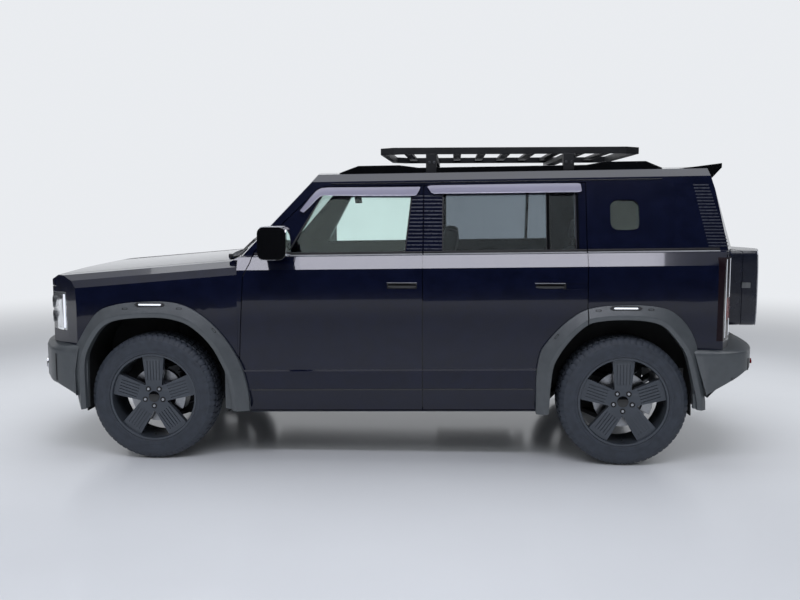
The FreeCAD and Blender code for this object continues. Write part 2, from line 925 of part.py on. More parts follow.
def front_fender(shell):
    """Right wing: over the arch, along the hood and down to the sill behind the wheel."""
    zone = box(-length, door_x, lamp_inner_half, width, door_low_z, height)
    wing = shell.common(zone).cut(hood_room(shut_gap / 2, hood_front_z - shut_gap))
    wing = wing.cut(lamp_zone(seat_gap)).cut(arch_cut(front_axle_x, True))
    low_front = box(-length, front_axle_x, 0, width, 0, bumper_top_z + seat_gap)
    cowl_room = box(screen_x - screen_bow - hood_rear_gap, 0, 0, hood_half + shut_gap / 2, 0, height)
    return largest(wing.cut(low_front).cut(cowl_room)).fuse(hood_pin(pin_reach, hinge_pin))


def headlamp():
    """Right headlamp: the corner block of the nose between the wing, hood and bumper."""
    outer = clip_core().common(clip_block())
    inner = clip_core(lamp_depth, hood_wall).common(clip_block(lamp_depth))
    return largest(outer.cut(inner).common(lamp_zone()))


def grille():
    """Frame with cross bars that follows the nose's bow, and its side cheeks up to the lamps."""
    plan, bows = nose_plan(seat_gap)
    deep_plan, deep_bows = nose_plan(grille_depth)
    slab = upward(plan, grille_low_z, grille_top_z, bows).cut(upward(deep_plan, 0, height, deep_bows))
    slab = slab.common(across(nose_side(seat_gap), -width, width))
    slab = slab.common(box(-length, 0, -lamp_inner_half + seat_gap, lamp_inner_half - seat_gap, 0, height))
    inner_half = grille_half - grille_border
    low_z = grille_low_z + grille_border
    high_z = grille_top_z - grille_border
    frame = slab.cut(box(-length, 0, -inner_half, inner_half, low_z, high_z))
    bar_plan, bar_bows = nose_plan(grille_bar_set)
    back_plan, back_bows = nose_plan(grille_depth - grille_bar_set)
    pitch = (high_z - low_z) / (grille_bar_count + 1)
    slats = []
    for number in range(grille_bar_count):
        slat_z = low_z + (number + 1) * pitch - grille_bar_height / 2
        slat = upward(bar_plan, slat_z, slat_z + grille_bar_height, bar_bows)
        slat = slat.cut(upward(back_plan, 0, height, back_bows))
        slats.append(slat.common(box(-length, 0, -inner_half, inner_half, 0, height)))
    return frame.fuse(slats).removeSplitter()


def engine_bay():
    """Side aprons, radiator with its cross-member and the bumper beam."""
    nose_back_x = -nose_x + grille_depth + radiator_set
    low_z = subframe_z + subframe_height + apron_wall
    high_z = hood_front_z - hood_wall * 2
    apron = box(nose_back_x, front_limit_x - seat_gap, apron_half - apron_wall, apron_half, low_z, high_z)
    half_room = subframe_length / 2 + running_gap
    room = box(front_axle_x - half_room, front_axle_x + half_room, 0, width, 0, arm_high_z + arm_half_width)
    seat_x = front_axle_x + spring_offset
    seat = box(seat_x - spring_seat / 2, seat_x + spring_seat / 2, apron_half - apron_wall,
               coil_top_half + spring_seat / 2, coil_top_z + seat_gap, coil_top_z + seat_gap + spring_seat_height)
    apron = apron.cut(room).fuse(seat)
    radiator = box(nose_back_x, nose_back_x + radiator_thickness, -apron_half, apron_half, bumper_mid_z, high_z)
    beam_half = apron_half - apron_wall
    beam = box(nose_back_x - radiator_set, nose_back_x, -beam_half, beam_half, bumper_mid_z, bumper_high_z)
    return apron.fuse([mirrored(apron), radiator, beam]).removeSplitter()


def cowl_panel():
    """Scuttle between the hood's rear edge and the windscreen."""
    half = hood_half + shut_gap / 2 - seat_gap
    body = box(screen_x - screen_bow - hood_rear_gap, screen_x + screen_header, -half, half,
               cowl_z - hood_wall, cowl_z - cowl_drop)
    front = hood_room(shut_gap / 2, 0, hood_rear_gap - cowl_gap + shut_gap / 2)
    return largest(body.cut(front).cut(core().common(cabin_block())))


def bumper_plan(shares, face_x, bow_x, half_face, depth, tuck):
    """Plan outline of a bumper from its face to the wheel arch; tuck draws its reach in."""
    turn = 1 if face_x > 0 else -1
    back_x = face_x - turn * depth
    half_full = width / 2
    corner = [(face_x - turn * s * depth, half_face + t * (half_full - half_face)) for s, t in shares]
    right = [(back_x, half_full)] + list(reversed(corner))[1:] + [(face_x, half_face)]
    points = right + [(x, -y) for x, y in reversed(right)]
    drawn = [(back_x + (x - back_x) * tuck, y * tuck) for x, y in points]
    return drawn, (back_x + (bow_x - back_x) * tuck, 0)


def bumper_form(plan_at, levels):
    """Loft through the plan outlines at the levels given as (height, tuck)."""
    wires = []
    for level_z, tuck in levels:
        plan, bow = plan_at(tuck)
        points = [V(x, y, level_z) for x, y in plan]
        side = len(points) // 2 - 1
        wires.append(wire(points, {side: V(bow[0], bow[1], level_z)}))
    return Part.makeLoft(wires, True, True)


def bumper_shell(plan_at, levels, wall, cutter):
    """Bumper lofted through its levels, hollowed by the wall and cut by the wheel arches."""
    plan = plan_at(1)[0]
    hollow = upward([(x + wall, y * bumper_tuck_share) for x, y in plan], 0, bumper_top_z + overrun)
    shell = bumper_form(plan_at, levels).cut(hollow)
    return largest(shell.cut(cutter).cut(mirrored(cutter)))


def front_bumper_plan(tuck):
    face_x = -length / 2 + bumper_nose_bow
    return bumper_plan(bumper_nose_shares, face_x, -length / 2, bumper_face_half, bumper_front_depth, tuck)


def front_bumper():
    levels = [(bumper_low_z, bumper_tuck_share), (bumper_mid_z, 1), (bumper_high_z, 1),
              (bumper_top_z, bumper_tuck_share)]
    return bumper_shell(front_bumper_plan, levels, bumper_wall, arch_cut(front_axle_x, True))


def rear_bumper_plan(tuck):
    face_x = rear_bumper_x - rear_bumper_bow
    return bumper_plan(rear_bumper_shares, face_x, rear_bumper_x, bumper_face_half, rear_bumper_depth, tuck)


def rear_bumper():
    levels = [(rear_bumper_low_z, rear_tuck_share), (rear_bumper_mid_z, 1), (bumper_high_z, 1),
              (bumper_top_z, bumper_tuck_share)]
    return bumper_shell(rear_bumper_plan, levels, -bumper_wall, arch_cut(rear_axle_x, False))


def rear_bumper_room():
    return box(rear_axle_x, length, 0, width, 0, bumper_top_z + seat_gap)


# Arches


def flare_ring(axle_x, towards_rear):
    """Flare round one arch of the right side: chamfered outwards and cut to the opening."""
    full = 1 + flare_band / arch_reach
    narrow = full - flare_chamfer / arch_reach
    half_in = waist_half - fender_wall
    base_half = waist_half + flare_proud / 3
    levels = [(half_in, full), (base_half, full), (width / 2, narrow)]
    wires = [wire([V(x, half, z) for x, z in arch_outline(axle_x, towards_rear, scale)])
             for half, scale in levels]
    ring = Part.makeLoft(wires, True, True).cut(arch_cut(axle_x, towards_rear))
    outward = box(axle_x, axle_x + length, 0, width, 0, flare_end_z)
    if towards_rear:
        outward = box(axle_x - length, axle_x, 0, width, 0, flare_end_z)
    ring = ring.cut(outward).cut(box(-length, length, 0, width, 0, flare_foot_z))
    return ring.cut(marker_room(axle_x, full))


def marker_room(axle_x, scale):
    """Slot for the marker lamp in the flare's upper face."""
    top_z = axle_z + max(t for s, t in arch_shares) * arch_reach * scale
    return box(axle_x - marker_length / 2, axle_x + marker_length / 2, width / 2 - flare_proud * 2 / 3, width,
               top_z - marker_height - marker_depth, top_z - marker_depth)


def front_flare():
    whole = clip_core().fuse(core().common(cabin_block()))
    ring = flare_ring(front_axle_x, True)
    door_room = box(door_x - shut_gap / 2, length, 0, width, 0, height)
    return largest(ring.cut(whole).cut(door_room))


def rear_flares():
    """The rear flare in two pieces, split at the rear door's trailing edge."""
    ring = flare_ring(rear_axle_x, False).cut(core())
    fixed = ring.cut(box(-length, rear_door_end_x + shut_gap / 2, 0, width, 0, height))
    moving = ring.common(box(-length, rear_door_end_x - shut_gap / 2, 0, width, 0, height))
    return largest(fixed), largest(moving)


def wheel_liner(axle_x, towards_rear, half_from, half_to):
    """Bent sheet round the inside of an arch."""
    scale = 1 + liner_thickness / arch_reach
    outline = arch_outline(axle_x, towards_rear, scale)
    return across(outline, half_from, half_to).cut(arch_cut(axle_x, towards_rear))


def rear_house():
    """Rear liner with the wall that closes it towards the load floor."""
    half_to = waist_half - door_wall - seat_gap
    sheet = wheel_liner(rear_axle_x, False, rear_house_half, half_to)
    wall = across(arch_outline(rear_axle_x, False), rear_house_half, rear_house_half + liner_thickness)
    wall = wall.cut(box(-length, length, 0, width, 0, load_floor_z - floor_thickness))
    return sheet.fuse(wall).removeSplitter()


def mud_flap():
    seat = liner_thickness + seat_gap
    near = across(arch_outline(rear_axle_x, False, 1 + seat / arch_reach), 0, width)
    far = across(arch_outline(rear_axle_x, False, 1 + (seat + flap_thickness) / arch_reach), 0, width)
    zone = box(rear_axle_x, length, waist_half - flap_width, waist_half, flap_low_z, flap_low_z + flap_height)
    return far.cut(near).common(zone)


# Roof


def roof_rail():
    """Raised rail on the right edge of the roof, higher over its ends."""
    front_x = screen_x + rail_front_setback
    run = rail_length
    skin_z = roof_side_z + rail_foot_rise
    top = [(front_x + s * run, skin_z + t * rail_height) for s, t in rail_shares]
    foot = [(front_x + run, skin_z - roof_side_drop), (front_x, skin_z - roof_side_drop)]
    points = [(x, z + rake_share * x) for x, z in top + foot]
    rail = across(points, rail_half - rail_width / 2, rail_half + rail_width / 2)
    return largest(rail.cut(core()))


def rack_outline(inset=0):
    front_x = screen_x + rack_front_setback + inset
    rear_x = screen_x + rack_front_setback + rack_length - inset
    half = rack_half - inset
    corner = rack_corner
    return [(front_x + corner, half), (front_x, half - corner), (front_x, -half + corner),
            (front_x + corner, -half), (rear_x - corner, -half), (rear_x, -half + corner),
            (rear_x, half - corner), (rear_x - corner, half)]


def roof_rack():
    """Flat platform: an outer frame, flat slats across it, two cross-members and four clamp feet."""
    top_z = height
    frame = upward(rack_outline(), top_z - rack_depth, top_z).cut(upward(rack_outline(rack_frame), 0, top_z))
    front_x = min(x for x, y in rack_outline())
    rear_x = max(x for x, y in rack_outline())
    run = rear_x - front_x
    inner_half = rack_half - rack_frame / 2
    pieces = []
    for number in range(rack_bar_count):
        slat_x = front_x + run * (number + 1) / (rack_bar_count + 1)
        pieces.append(box(slat_x - rack_bar_width / 2, slat_x + rack_bar_width / 2, -inner_half, inner_half,
                          top_z - rack_bar_height, top_z - rack_bar_height / 4))
    for share in (foot_front_share, foot_rear_share):
        foot_x = front_x + run * share
        bar_top = top_z - rack_depth
        pieces.append(box(foot_x - foot_length / 2, foot_x + foot_length / 2, -rail_half, rail_half,
                          bar_top - crossbar_height, bar_top))
        foot = box(foot_x - foot_length / 2, foot_x + foot_length / 2, rail_half - foot_width / 2,
                   rail_half + foot_width / 2, roof_side_z - roof_side_drop, bar_top)
        foot = foot.cut(core()).cut(roof_rail())
        pieces += [largest(foot), mirrored(largest(foot))]
    rack = frame.fuse(pieces).removeSplitter()
    for hole_x in (front_x + rack_hole_set, rear_x - rack_hole_set):
        for hole_y in (-rack_half + rack_frame / 2, rack_half - rack_frame / 2):
            rack = rack.cut(rod(V(hole_x, hole_y, top_z - rack_depth), V(hole_x, hole_y, top_z), rack_hole))
    return rack


def spoiler():
    """Wing over the rear edge of the roof, lifted at its tip, with a fin under each end."""
    root_x = tail_x - tail_bow - tail_lean * (roof_z - belt_z) - tail_corner_depth / 2
    tip_x = root_x + spoiler_chord
    skin_z = roof_side_z + rake_share * root_x
    tip_z = skin_z + spoiler_lift
    thick = spoiler_thickness
    outline = [(root_x - spoiler_root, skin_z), (root_x, skin_z + thick / 2), (tip_x, tip_z),
               (tip_x, tip_z - thick / 2), (root_x + spoiler_chord / 2, skin_z - thick / 2),
               (root_x, skin_z - thick)]
    fin_outline = [(root_x, skin_z), (tip_x, tip_z - thick / 4), (tip_x, tip_z - thick),
                   (tip_x - spoiler_fin_cut, skin_z - spoiler_fin_drop), (root_x, skin_z - spoiler_fin_drop)]
    fin = across(fin_outline, spoiler_half - spoiler_fin_width, spoiler_half)
    body = core().common(cabin_block(tail_inset=-running_gap))
    wing = across(outline, -spoiler_half, spoiler_half).fuse([fin, mirrored(fin)])
    return largest(wing.cut(body).cut(core().common(box(-length, root_x, -width, width, 0, height))))


# Mirror


def mirror():
    """Housing with rounded edges on a short arm from the door's front corner."""
    x_from = door_x + mirror_setback
    half_from = waist_half - belt_lip_inset + mirror_arm
    z_from = belt_z - mirror_drop
    outline = rounded(x_from, x_from + mirror_length, z_from, z_from + mirror_height, mirror_corner)
    housing = across(outline, half_from, half_from + mirror_breadth)
    arm_z = z_from + mirror_drop
    arm = box(x_from + mirror_corner, x_from + mirror_length - mirror_corner, waist_half / 2,
              half_from + mirror_corner, arm_z, arm_z + mirror_arm_height)
    return housing.fuse(arm.cut(core())).removeSplitter()


# Tail


def tailgate(shell):
    rear_part = shell.cut(box(-length, rear_axle_x, -width, width, 0, height))
    deep = cabin_block(tail_inset=skin_depth)
    skin = rear_part.common(tailgate_zone(0)).cut(deep)
    inner = rear_part.common(deep).common(tailgate_zone(-door_box_inset))
    gate = largest(skin.fuse(inner).removeSplitter().cut(tail_opening())).fuse(gate_hinges())
    for bore in hinge_pins(bore_size(hinge_pin)):
        gate = gate.cut(bore)
    return gate.removeSplitter()


def tailgate_glass():
    outer = cabin_block(tail_inset=glass_set).cut(cabin_block(tail_inset=glass_set + glass_thickness))
    return largest(outer.common(tail_opening()))


def storage_case():
    """Case on the tailgate with cut corners and the seam of its door."""
    low_x = tail_x - tail_bow
    half = case_half
    corner = case_corner
    outline = [(half - corner, case_low_z), (half, case_low_z + corner), (half, case_top_z - corner),
               (half - corner, case_top_z), (-half + corner, case_top_z), (-half, case_top_z - corner),
               (-half, case_low_z + corner), (-half + corner, case_low_z)]
    body = along(outline, low_x, length / 2, climb=0)
    seam_x = length / 2 - case_seam_set
    seam = box(seam_x, seam_x + case_lid_seam, -width, width, 0, height)
    inner = [(y * case_seam_share, z) for y, z in outline]
    ring = seam.cut(along(inner, low_x, length / 2, climb=0))
    return largest(body.cut(cabin_block()).cut(ring))


def tail_lamp():
    outer = core().common(cabin_block())
    inner = core(tail_wall).common(cabin_block(tail_inset=tail_wall))
    return largest(outer.cut(inner).common(tail_lamp_zone(0)))


# Glass fixed to the body


def fixed_glass():
    slab = cabin_block(glass_set).cut(cabin_block(glass_set + glass_thickness * 2))
    screen = slab.common(screen_opening(screen_x + wheelbase / 4)).common(core(pillar_wall))
    pane = core(glass_set).cut(core(glass_set + glass_thickness)).common(quarter_window(0))
    return Part.makeCompound([largest(screen), pane, mirrored(pane)])


# Cabin inside


def dashboard():
    front_x = front_limit_x + floor_thickness
    rear_x = front_x + dash_depth
    outline = [(front_x, dash_low_z), (front_x, dash_top_z), (rear_x - dash_depth / 3, dash_top_z),
               (rear_x, dash_top_z - dash_depth / 3), (rear_x - dash_depth / 4, dash_low_z)]
    half = waist_half - door_wall - running_gap * 2
    body = across(outline, -half, half)
    start, end = column_line()
    column = bar(start, end - (end - start).normalize() * (wheel_grip + seat_gap), column_diameter)
    return body.fuse(column).removeSplitter()


def column_line():
    """Line of the steering column, from inside the dashboard to the middle of the wheel."""
    tilt = math.radians(wheel_tilt)
    centre = V(front_limit_x + wheel_reach, -wheel_side, wheel_z)
    start = centre + V(-math.cos(tilt), 0, -math.sin(tilt)) * (wheel_reach - dash_depth + wheel_grip)
    return start, centre


def steering_wheel():
    start, centre = column_line()
    axis = (centre - start).normalize()
    half = wheel_grip / 2
    outer = wheel_diameter / 2
    turns = [2 * math.pi * number / grip_sides for number in range(grip_sides)]
    grip = [(outer - half + half * math.cos(turn), half * math.sin(turn)) for turn in turns]
    rim = turned(grip, wheel_rim_sides)
    rim.Placement = FreeCAD.Placement(centre, FreeCAD.Rotation(V(0, 1, 0), axis))
    boss = bar(centre - axis * wheel_grip, centre + axis * half, wheel_boss_diameter)
    spokes = []
    for turn in wheel_spoke_turns:
        reach = FreeCAD.Rotation(axis, turn).multVec(V(0, 1, 0)) * (outer - half)
        spokes.append(bar(centre, centre + reach, wheel_spoke_diameter))
    return boss.fuse(spokes).fuse(rim).removeSplitter()


def seat_solid(x_from, base_z, lift, half_from, half_to):
    """Cushion, back and head rest as one side outline, swept across the seat."""
    back_x = x_from + seat_length
    thick = seat_back_thickness
    cushion_z = seat_cushion_z + lift
    outline = [(x_from, base_z), (x_from, cushion_z - thick / 4), (x_from + thick / 4, cushion_z),
               (back_x - thick / 2, cushion_z - thick / 4)]
    levels = (seat_back_z + lift, seat_head_z + lift, seat_head_z + lift, seat_back_z + lift, base_z)
    outline += [(back_x + thick * share, z) for share, z in zip(seat_back_shares, levels)]
    return across(outline, half_from, half_to)


def front_seats():
    x_from = front_axle_x + wheelbase * seat_share
    seat = seat_solid(x_from, seat_base_z, 0, seat_side - seat_width / 2, seat_side + seat_width / 2)
    pad = box(x_from + seat_back_thickness, x_from + seat_length, seat_side - seat_width / 4,
              seat_side + seat_width / 4, floor_z + seat_gap, seat_base_z)
    return pair(seat.fuse(pad).removeSplitter())


def rear_seat():
    x_from = front_axle_x + wheelbase * rear_seat_share
    base_z = load_floor_z + seat_gap
    step_x = rear_axle_x - load_step_setback
    seat = seat_solid(x_from, base_z, rear_seat_lift, -rear_seat_width / 2, rear_seat_width / 2)
    pad = box(x_from + seat_back_thickness / 2, step_x, tunnel_half + floor_thickness,
              rear_seat_width / 3, floor_z + seat_gap, base_z)
    return seat.fuse([pad, mirrored(pad)]).removeSplitter()


# Under the body


def engine_block():
    x_from = front_axle_x - engine_length / 2 - engine_setback
    return box(x_from, x_from + engine_length, -engine_breadth / 2, engine_breadth / 2, engine_low_z, engine_top_z)


def arm(axle_x, level_z, half_tip):
    """Wishbone seen from above: wide at the subframe, narrow at its ball joint."""
    root = subframe_length / 2 - arm_half_width
    points = [(axle_x - root, subframe_half - arm_half_width), (axle_x - arm_half_width, half_tip),
              (axle_x + arm_half_width, half_tip), (axle_x + root, subframe_half - arm_half_width)]
    plate = upward(points, level_z - arm_thickness / 2, level_z + arm_thickness / 2)
    hole = [(axle_x - root / 2, subframe_half + arm_half_width), (axle_x, half_tip - arm_half_width * 4),
            (axle_x + root / 2, subframe_half + arm_half_width)]
    return plate.cut(upward(hole, 0, height))


def suspension(axle_x, half_tip, high_z, spring_z):
    """Subframe, wishbones and spring legs on both sides of one axle, joined as one carrier."""
    front_x = axle_x - subframe_length / 2
    rear_x = axle_x + subframe_length / 2
    side_in = subframe_half - arm_half_width
    half_thick = arm_thickness / 2
    frame = box(front_x, rear_x, -subframe_half, subframe_half, subframe_z, subframe_z + subframe_height)
    open_y = subframe_half - subframe_rail
    frame = frame.cut(box(front_x + subframe_bar, rear_x - subframe_bar, -open_y, open_y, 0, height))
    towers = [box(x, x + tower_width, side_in, subframe_half, subframe_z, high_z + half_thick)
              for x in (front_x, rear_x - tower_width)]
    low = arm(axle_x, arm_low_z, half_tip)
    link = box(front_x, rear_x, side_in - arm_half_width, subframe_half, arm_low_z - half_thick, subframe_z)
    high = arm(axle_x, high_z, half_tip)
    side_bar = box(front_x, rear_x, side_in, subframe_half, high_z - half_thick, high_z + half_thick)
    lean = (coil_top_half - coil_base_half) / (coil_top_z - arm_low_z)
    coil_x = axle_x + spring_offset
    reach_z = spring_z + coil_diameter
    coil = bar(V(coil_x, coil_base_half, arm_low_z),
               V(coil_x, coil_base_half + lean * (reach_z - arm_low_z), reach_z), coil_diameter)
    coil = coil.cut(box(-length, length, 0, width, spring_z, height))
    saddle = box(coil_x - arm_half_width, coil_x + arm_half_width, subframe_half, coil_base_half,
                 arm_low_z - half_thick, arm_low_z + half_thick)
    right = low.fuse([link, high, side_bar, saddle, coil] + towers)
    return frame.fuse([right, mirrored(right)]).removeSplitter()


def knuckle(axle_x, high_arm_z):
    """Upright between the two ball joints, with the spindle that carries the wheel."""
    half_in = kingpin_half - knuckle_thickness / 2
    low_z = arm_low_z + arm_thickness / 2 + seat_gap
    high_z = high_arm_z - arm_thickness / 2 - seat_gap
    post = box(axle_x - knuckle_width / 2, axle_x + knuckle_width / 2, half_in, half_in + knuckle_thickness,
               low_z, high_z)
    tip = V(axle_x, half_track + hub_thickness / 2, axle_z)
    spindle = rod(V(axle_x, half_in, axle_z), tip, spindle_diameter)
    return post.fuse(spindle).removeSplitter()


def rear_suspension():
    """Rear carrier with its uprights fixed, as they don't steer."""
    carrier = suspension(rear_axle_x, kingpin_half, rear_arm_high_z, load_floor_z - floor_thickness - seat_gap)
    upright = knuckle(rear_axle_x, rear_arm_high_z + seat_gap * 2)
    half_width = knuckle_width / 2
    half_thick = knuckle_thickness / 2
    post = box(rear_axle_x - half_width, rear_axle_x + half_width, kingpin_half - half_thick,
               kingpin_half + half_thick, arm_low_z, rear_arm_high_z)
    right = upright.fuse(post)
    return carrier.fuse([right, mirrored(right)]).removeSplitter()


def driveline():
    """Propeller shaft, rear differential and the four half shafts."""
    half_in = kingpin_half - knuckle_thickness / 2 - running_gap
    steer_half_in = kingpin_half - math.hypot(knuckle_width, knuckle_thickness) / 2 - running_gap
    front_x = front_axle_x + engine_length / 2 - engine_setback + seat_gap
    prop = bar(V(front_x, 0, axle_z), V(rear_axle_x, 0, axle_z), prop_diameter)
    diff = box(rear_axle_x - diff_length / 2, rear_axle_x + diff_length / 2, -diff_breadth / 2, diff_breadth / 2,
               axle_z - diff_height / 2, axle_z + diff_height / 2)
    rear_shaft = bar(V(rear_axle_x, -half_in, axle_z), V(rear_axle_x, half_in, axle_z), shaft_diameter)
    start = V(front_axle_x, engine_breadth / 2 + seat_gap, axle_z)
    front_shaft = bar(start, V(front_axle_x, steer_half_in, axle_z), shaft_diameter)
    rear_part = prop.fuse([diff, rear_shaft]).removeSplitter()
    return Part.makeCompound([rear_part, front_shaft, mirrored(front_shaft)])


def fuel_tank():
    x_to = rear_axle_x - tank_setback
    return box(x_to - tank_length, x_to, tunnel_half, tunnel_half + tank_breadth,
               floor_z - floor_thickness - tank_height, floor_z - floor_thickness - seat_gap)


def exhaust():
    """Pipe along the left of the tunnel, over the rear carrier to a cross-mounted silencer."""
    side = -pipe_side
    under_z = floor_z - floor_thickness - seat_gap
    load_under_z = load_floor_z - floor_thickness - seat_gap
    low_z = under_z - hanger_height - pipe_diameter / 2
    box_z = load_under_z - hanger_height - silencer_height / 2
    rear_x = rear_axle_x + silencer_setback
    front_x = rear_x - silencer_breadth
    tail_side = side - silencer_length / 3
    half_frame = subframe_length / 2
    bends = [V(front_axle_x + engine_length / 2, side, low_z),
             V(rear_axle_x - load_step_setback, side, low_z),
             V(rear_axle_x - half_frame - pipe_diameter, side, pipe_axle_z),
             V(rear_axle_x + half_frame, side, pipe_axle_z), V(front_x + silencer_height / 2, side, box_z)]
    pipes = []
    for start, end in zip(bends, bends[1:]):
        lap = (end - start).normalize() * knee_lap
        pipes.append(bar(start - lap, end + lap, pipe_diameter))
    silencer = box(front_x, rear_x, side - silencer_length / 2, side + silencer_length / 2,
                   box_z - silencer_height / 2, box_z + silencer_height / 2)
    tail_end = V(rear_bumper_x - bumper_wall * 2, tail_side, box_z)
    tail = bar(V(rear_x, tail_side, box_z), tail_end, pipe_diameter)
    half = hanger_width / 2
    hangers = [box(x - half, x + half, side - half, side + half, low_z, under_z) for x in hanger_places]
    hangers.append(box(front_x, front_x + hanger_width, side - half, side + half, box_z, load_under_z))
    return pipes[0].fuse(pipes[1:] + [silencer, tail] + hangers).removeSplitter()


# Wheels, drawn about the axle line with the outer face towards +Y


def tyre():
    outer = tyre_diameter / 2
    inner = (rim_diameter / 2 + seat_gap) / math.cos(math.pi / tyre_sides)
    half = tyre_width / 2
    seat_half = rim_width / 2
    side_r = (outer + inner) / 2
    profile = [(inner, -seat_half), (side_r, -half), (outer - tyre_shoulder, -half + sidewall_bulge),
               (outer, -half + tread_inset), (outer, half - tread_inset),
               (outer - tyre_shoulder, half - sidewall_bulge), (side_r, half), (inner, seat_half)]
    return turned(profile, tyre_sides)


def rim_barrel():
    outer = rim_diameter / 2
    half = rim_width / 2
    profile = [(outer, -half), (outer, half), (outer - rim_flange, half),
               (outer - rim_wall, half - rim_flange), (outer - rim_wall, -half)]
    return turned(profile, rim_sides)


def spoke():
    """One broad spoke, flared towards the rim, with parallel grooves in its face."""
    face_y = rim_width / 2 - spoke_face_set
    reach = rim_diameter / 2 - rim_wall / 2
    root = hub_diameter / 4
    tip = reach - spoke_tip_inset
    points = [V(-spoke_root_half, face_y, root), V(-spoke_tip_half, face_y, tip),
              V(spoke_tip_half, face_y, tip), V(spoke_root_half, face_y, root)]
    blade = swept(points, V(0, -spoke_thickness, 0))
    pitch = spoke_root_half * 2 / spoke_groove_count
    for number in range(spoke_groove_count):
        groove_x = -spoke_root_half + pitch / 2 + pitch * number
        groove = box(groove_x - spoke_groove_width / 2, groove_x + spoke_groove_width / 2,
                     face_y - spoke_groove_depth, face_y, hub_diameter / 2 + rim_flange,
                     reach * spoke_groove_share)
        blade = blade.cut(groove)
    return blade


def rim():
    """Wheel with broad grooved spokes, a bolted hub and a plain cap, and the brake disc behind it."""
    face_y = rim_width / 2 - spoke_face_set
    hub = many_sided(V(0, face_y - hub_thickness, 0), V(0, hub_thickness, 0), hub_diameter, hub_sides)
    turns = [360 / spoke_count * number for number in range(spoke_count)]
    blades = [spoke().rotate(V(0, 0, 0), V(0, 1, 0), turn) for turn in turns]
    wheel = rim_barrel().fuse([hub] + blades).removeSplitter()
    for number in range(bolt_count):
        angle = math.pi * (2 * number + 1) / bolt_count
        at = V(bolt_circle / 2 * math.sin(angle), face_y, bolt_circle / 2 * math.cos(angle))
        wheel = wheel.cut(rod(at, at - V(0, hub_thickness / 2, 0), bolt_hole))
    bore_end = V(0, hub_thickness / 2 + seat_gap, 0)
    bore = rod(bore_end, bore_end - V(0, rim_width, 0), spindle_diameter + bearing_gap * 2)
    disc_y = face_y - hub_thickness
    disc = many_sided(V(0, disc_y, 0), V(0, -disc_thickness, 0), disc_diameter, hub_sides)
    return wheel.fuse(disc).cut(bore).removeSplitter()


def on_axle(shape, axle_x, side):
    """A wheel piece moved to its place; the left one is the twin of the right one."""
    moved = shape.copy()
    moved.translate(V(axle_x, half_track, axle_z))
    return handed(moved, side)


# Files


def save(shape, name):
    shape.exportStep("parts/" + name + ".step")
    print(name, len(shape.Solids), round(shape.Volume / 1e6, 2))


def save_shell():
    shell = cabin_shell()
    clip = clip_shell()
    frame = side_frame(shell)
    save(Part.makeCompound([frame.fuse(body_hinges()).removeSplitter(), mirrored(frame)]), "side_frames")
    save(roof_panel(shell), "roof_panel")
    save(pair(front_fender(clip)), "front_fenders")
    save(hood(clip), "hood")
    save(tailgate(shell), "tailgate")
    doors = {"front": (front_door_panel, front_windows(), door_x + front_door_length * front_handle_share),
             "rear": (rear_door_panel, rear_windows(), split_x + rear_door_length * rear_handle_share)}
    for place, (panel, windows, handle_x) in doors.items():
        right_shell = shell.common(box(-length, length, 0, width, 0, height))
        door = largest(door_solid(right_shell, panel, windows, handle_x))
        glass = door_glass(windows)
        for side in ("left", "right"):
            save(handed(door, side), "door_" + place + "_" + side)
            save(handed(glass, side), "glass_" + place + "_" + side)
            if place == "front":
                save(handed(mirror(), side), "mirror_" + side)


def save_arches():
    fixed, moving = rear_flares()
    save(Part.makeCompound([pair(front_flare()), pair(fixed)]), "arch_flares")
    for side in ("left", "right"):
        save(handed(moving, side), "door_flare_" + side)
    front_liner = wheel_liner(front_axle_x - liner_shift, True, apron_half + seat_gap, width)
    front_liner = largest(front_liner.common(clip_core(fender_wall, hood_wall)))
    save(Part.makeCompound([pair(front_liner), pair(rear_house())]), "wheel_liners")


def save_wheels():
    one_tyre = tyre()
    one_rim = rim()
    for place, axle_x in (("front", front_axle_x), ("rear", rear_axle_x)):
        for side in ("left", "right"):
            save(on_axle(one_tyre, axle_x, side), "tyre_" + place + "_" + side)
            save(on_axle(one_rim, axle_x, side), "rim_" + place + "_" + side)
            if place == "front":
                save(handed(knuckle(axle_x, arm_high_z), side), "knuckle_" + side)


def main():
    os.makedirs("parts", exist_ok=True)
    save_shell()
    save_arches()
    save_wheels()
    save(floor_pan(), "floor_pan")
    save(engine_bay(), "engine_bay")
    save(cowl_panel(), "cowl_panel")
    save(fixed_glass(), "fixed_glass")
    save(front_bumper(), "front_bumper")
    save(grille(), "grille")
    save(pair(headlamp()), "headlamps")
    save(rear_bumper(), "rear_bumper")
    save(pair(tail_lamp()), "tail_lamps")
    save(pair(mud_flap()), "mud_flaps")
    save(pair(roof_rail()), "roof_rails")
    save(roof_rack(), "roof_rack")
    save(spoiler(), "roof_spoiler")
    save(tailgate_glass(), "tailgate_glass")
    save(storage_case(), "storage_case")
    save(dashboard(), "dashboard")
    save(steering_wheel(), "steering_wheel")
    save(front_seats(), "front_seats")
    save(rear_seat(), "rear_seat")
    save(engine_block(), "engine_block")
    save(suspension(front_axle_x, kingpin_half, arm_high_z, coil_top_z), "front_suspension")
    save(rear_suspension(), "rear_suspension")
    save(driveline(), "driveline")
    save(fuel_tank(), "fuel_tank")
    save(exhaust(), "exhaust")


main()
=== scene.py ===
import math

import bmesh
import bpy
import numpy as np
from mathutils import Matrix, Vector
from mathutils.bvhtree import BVHTree


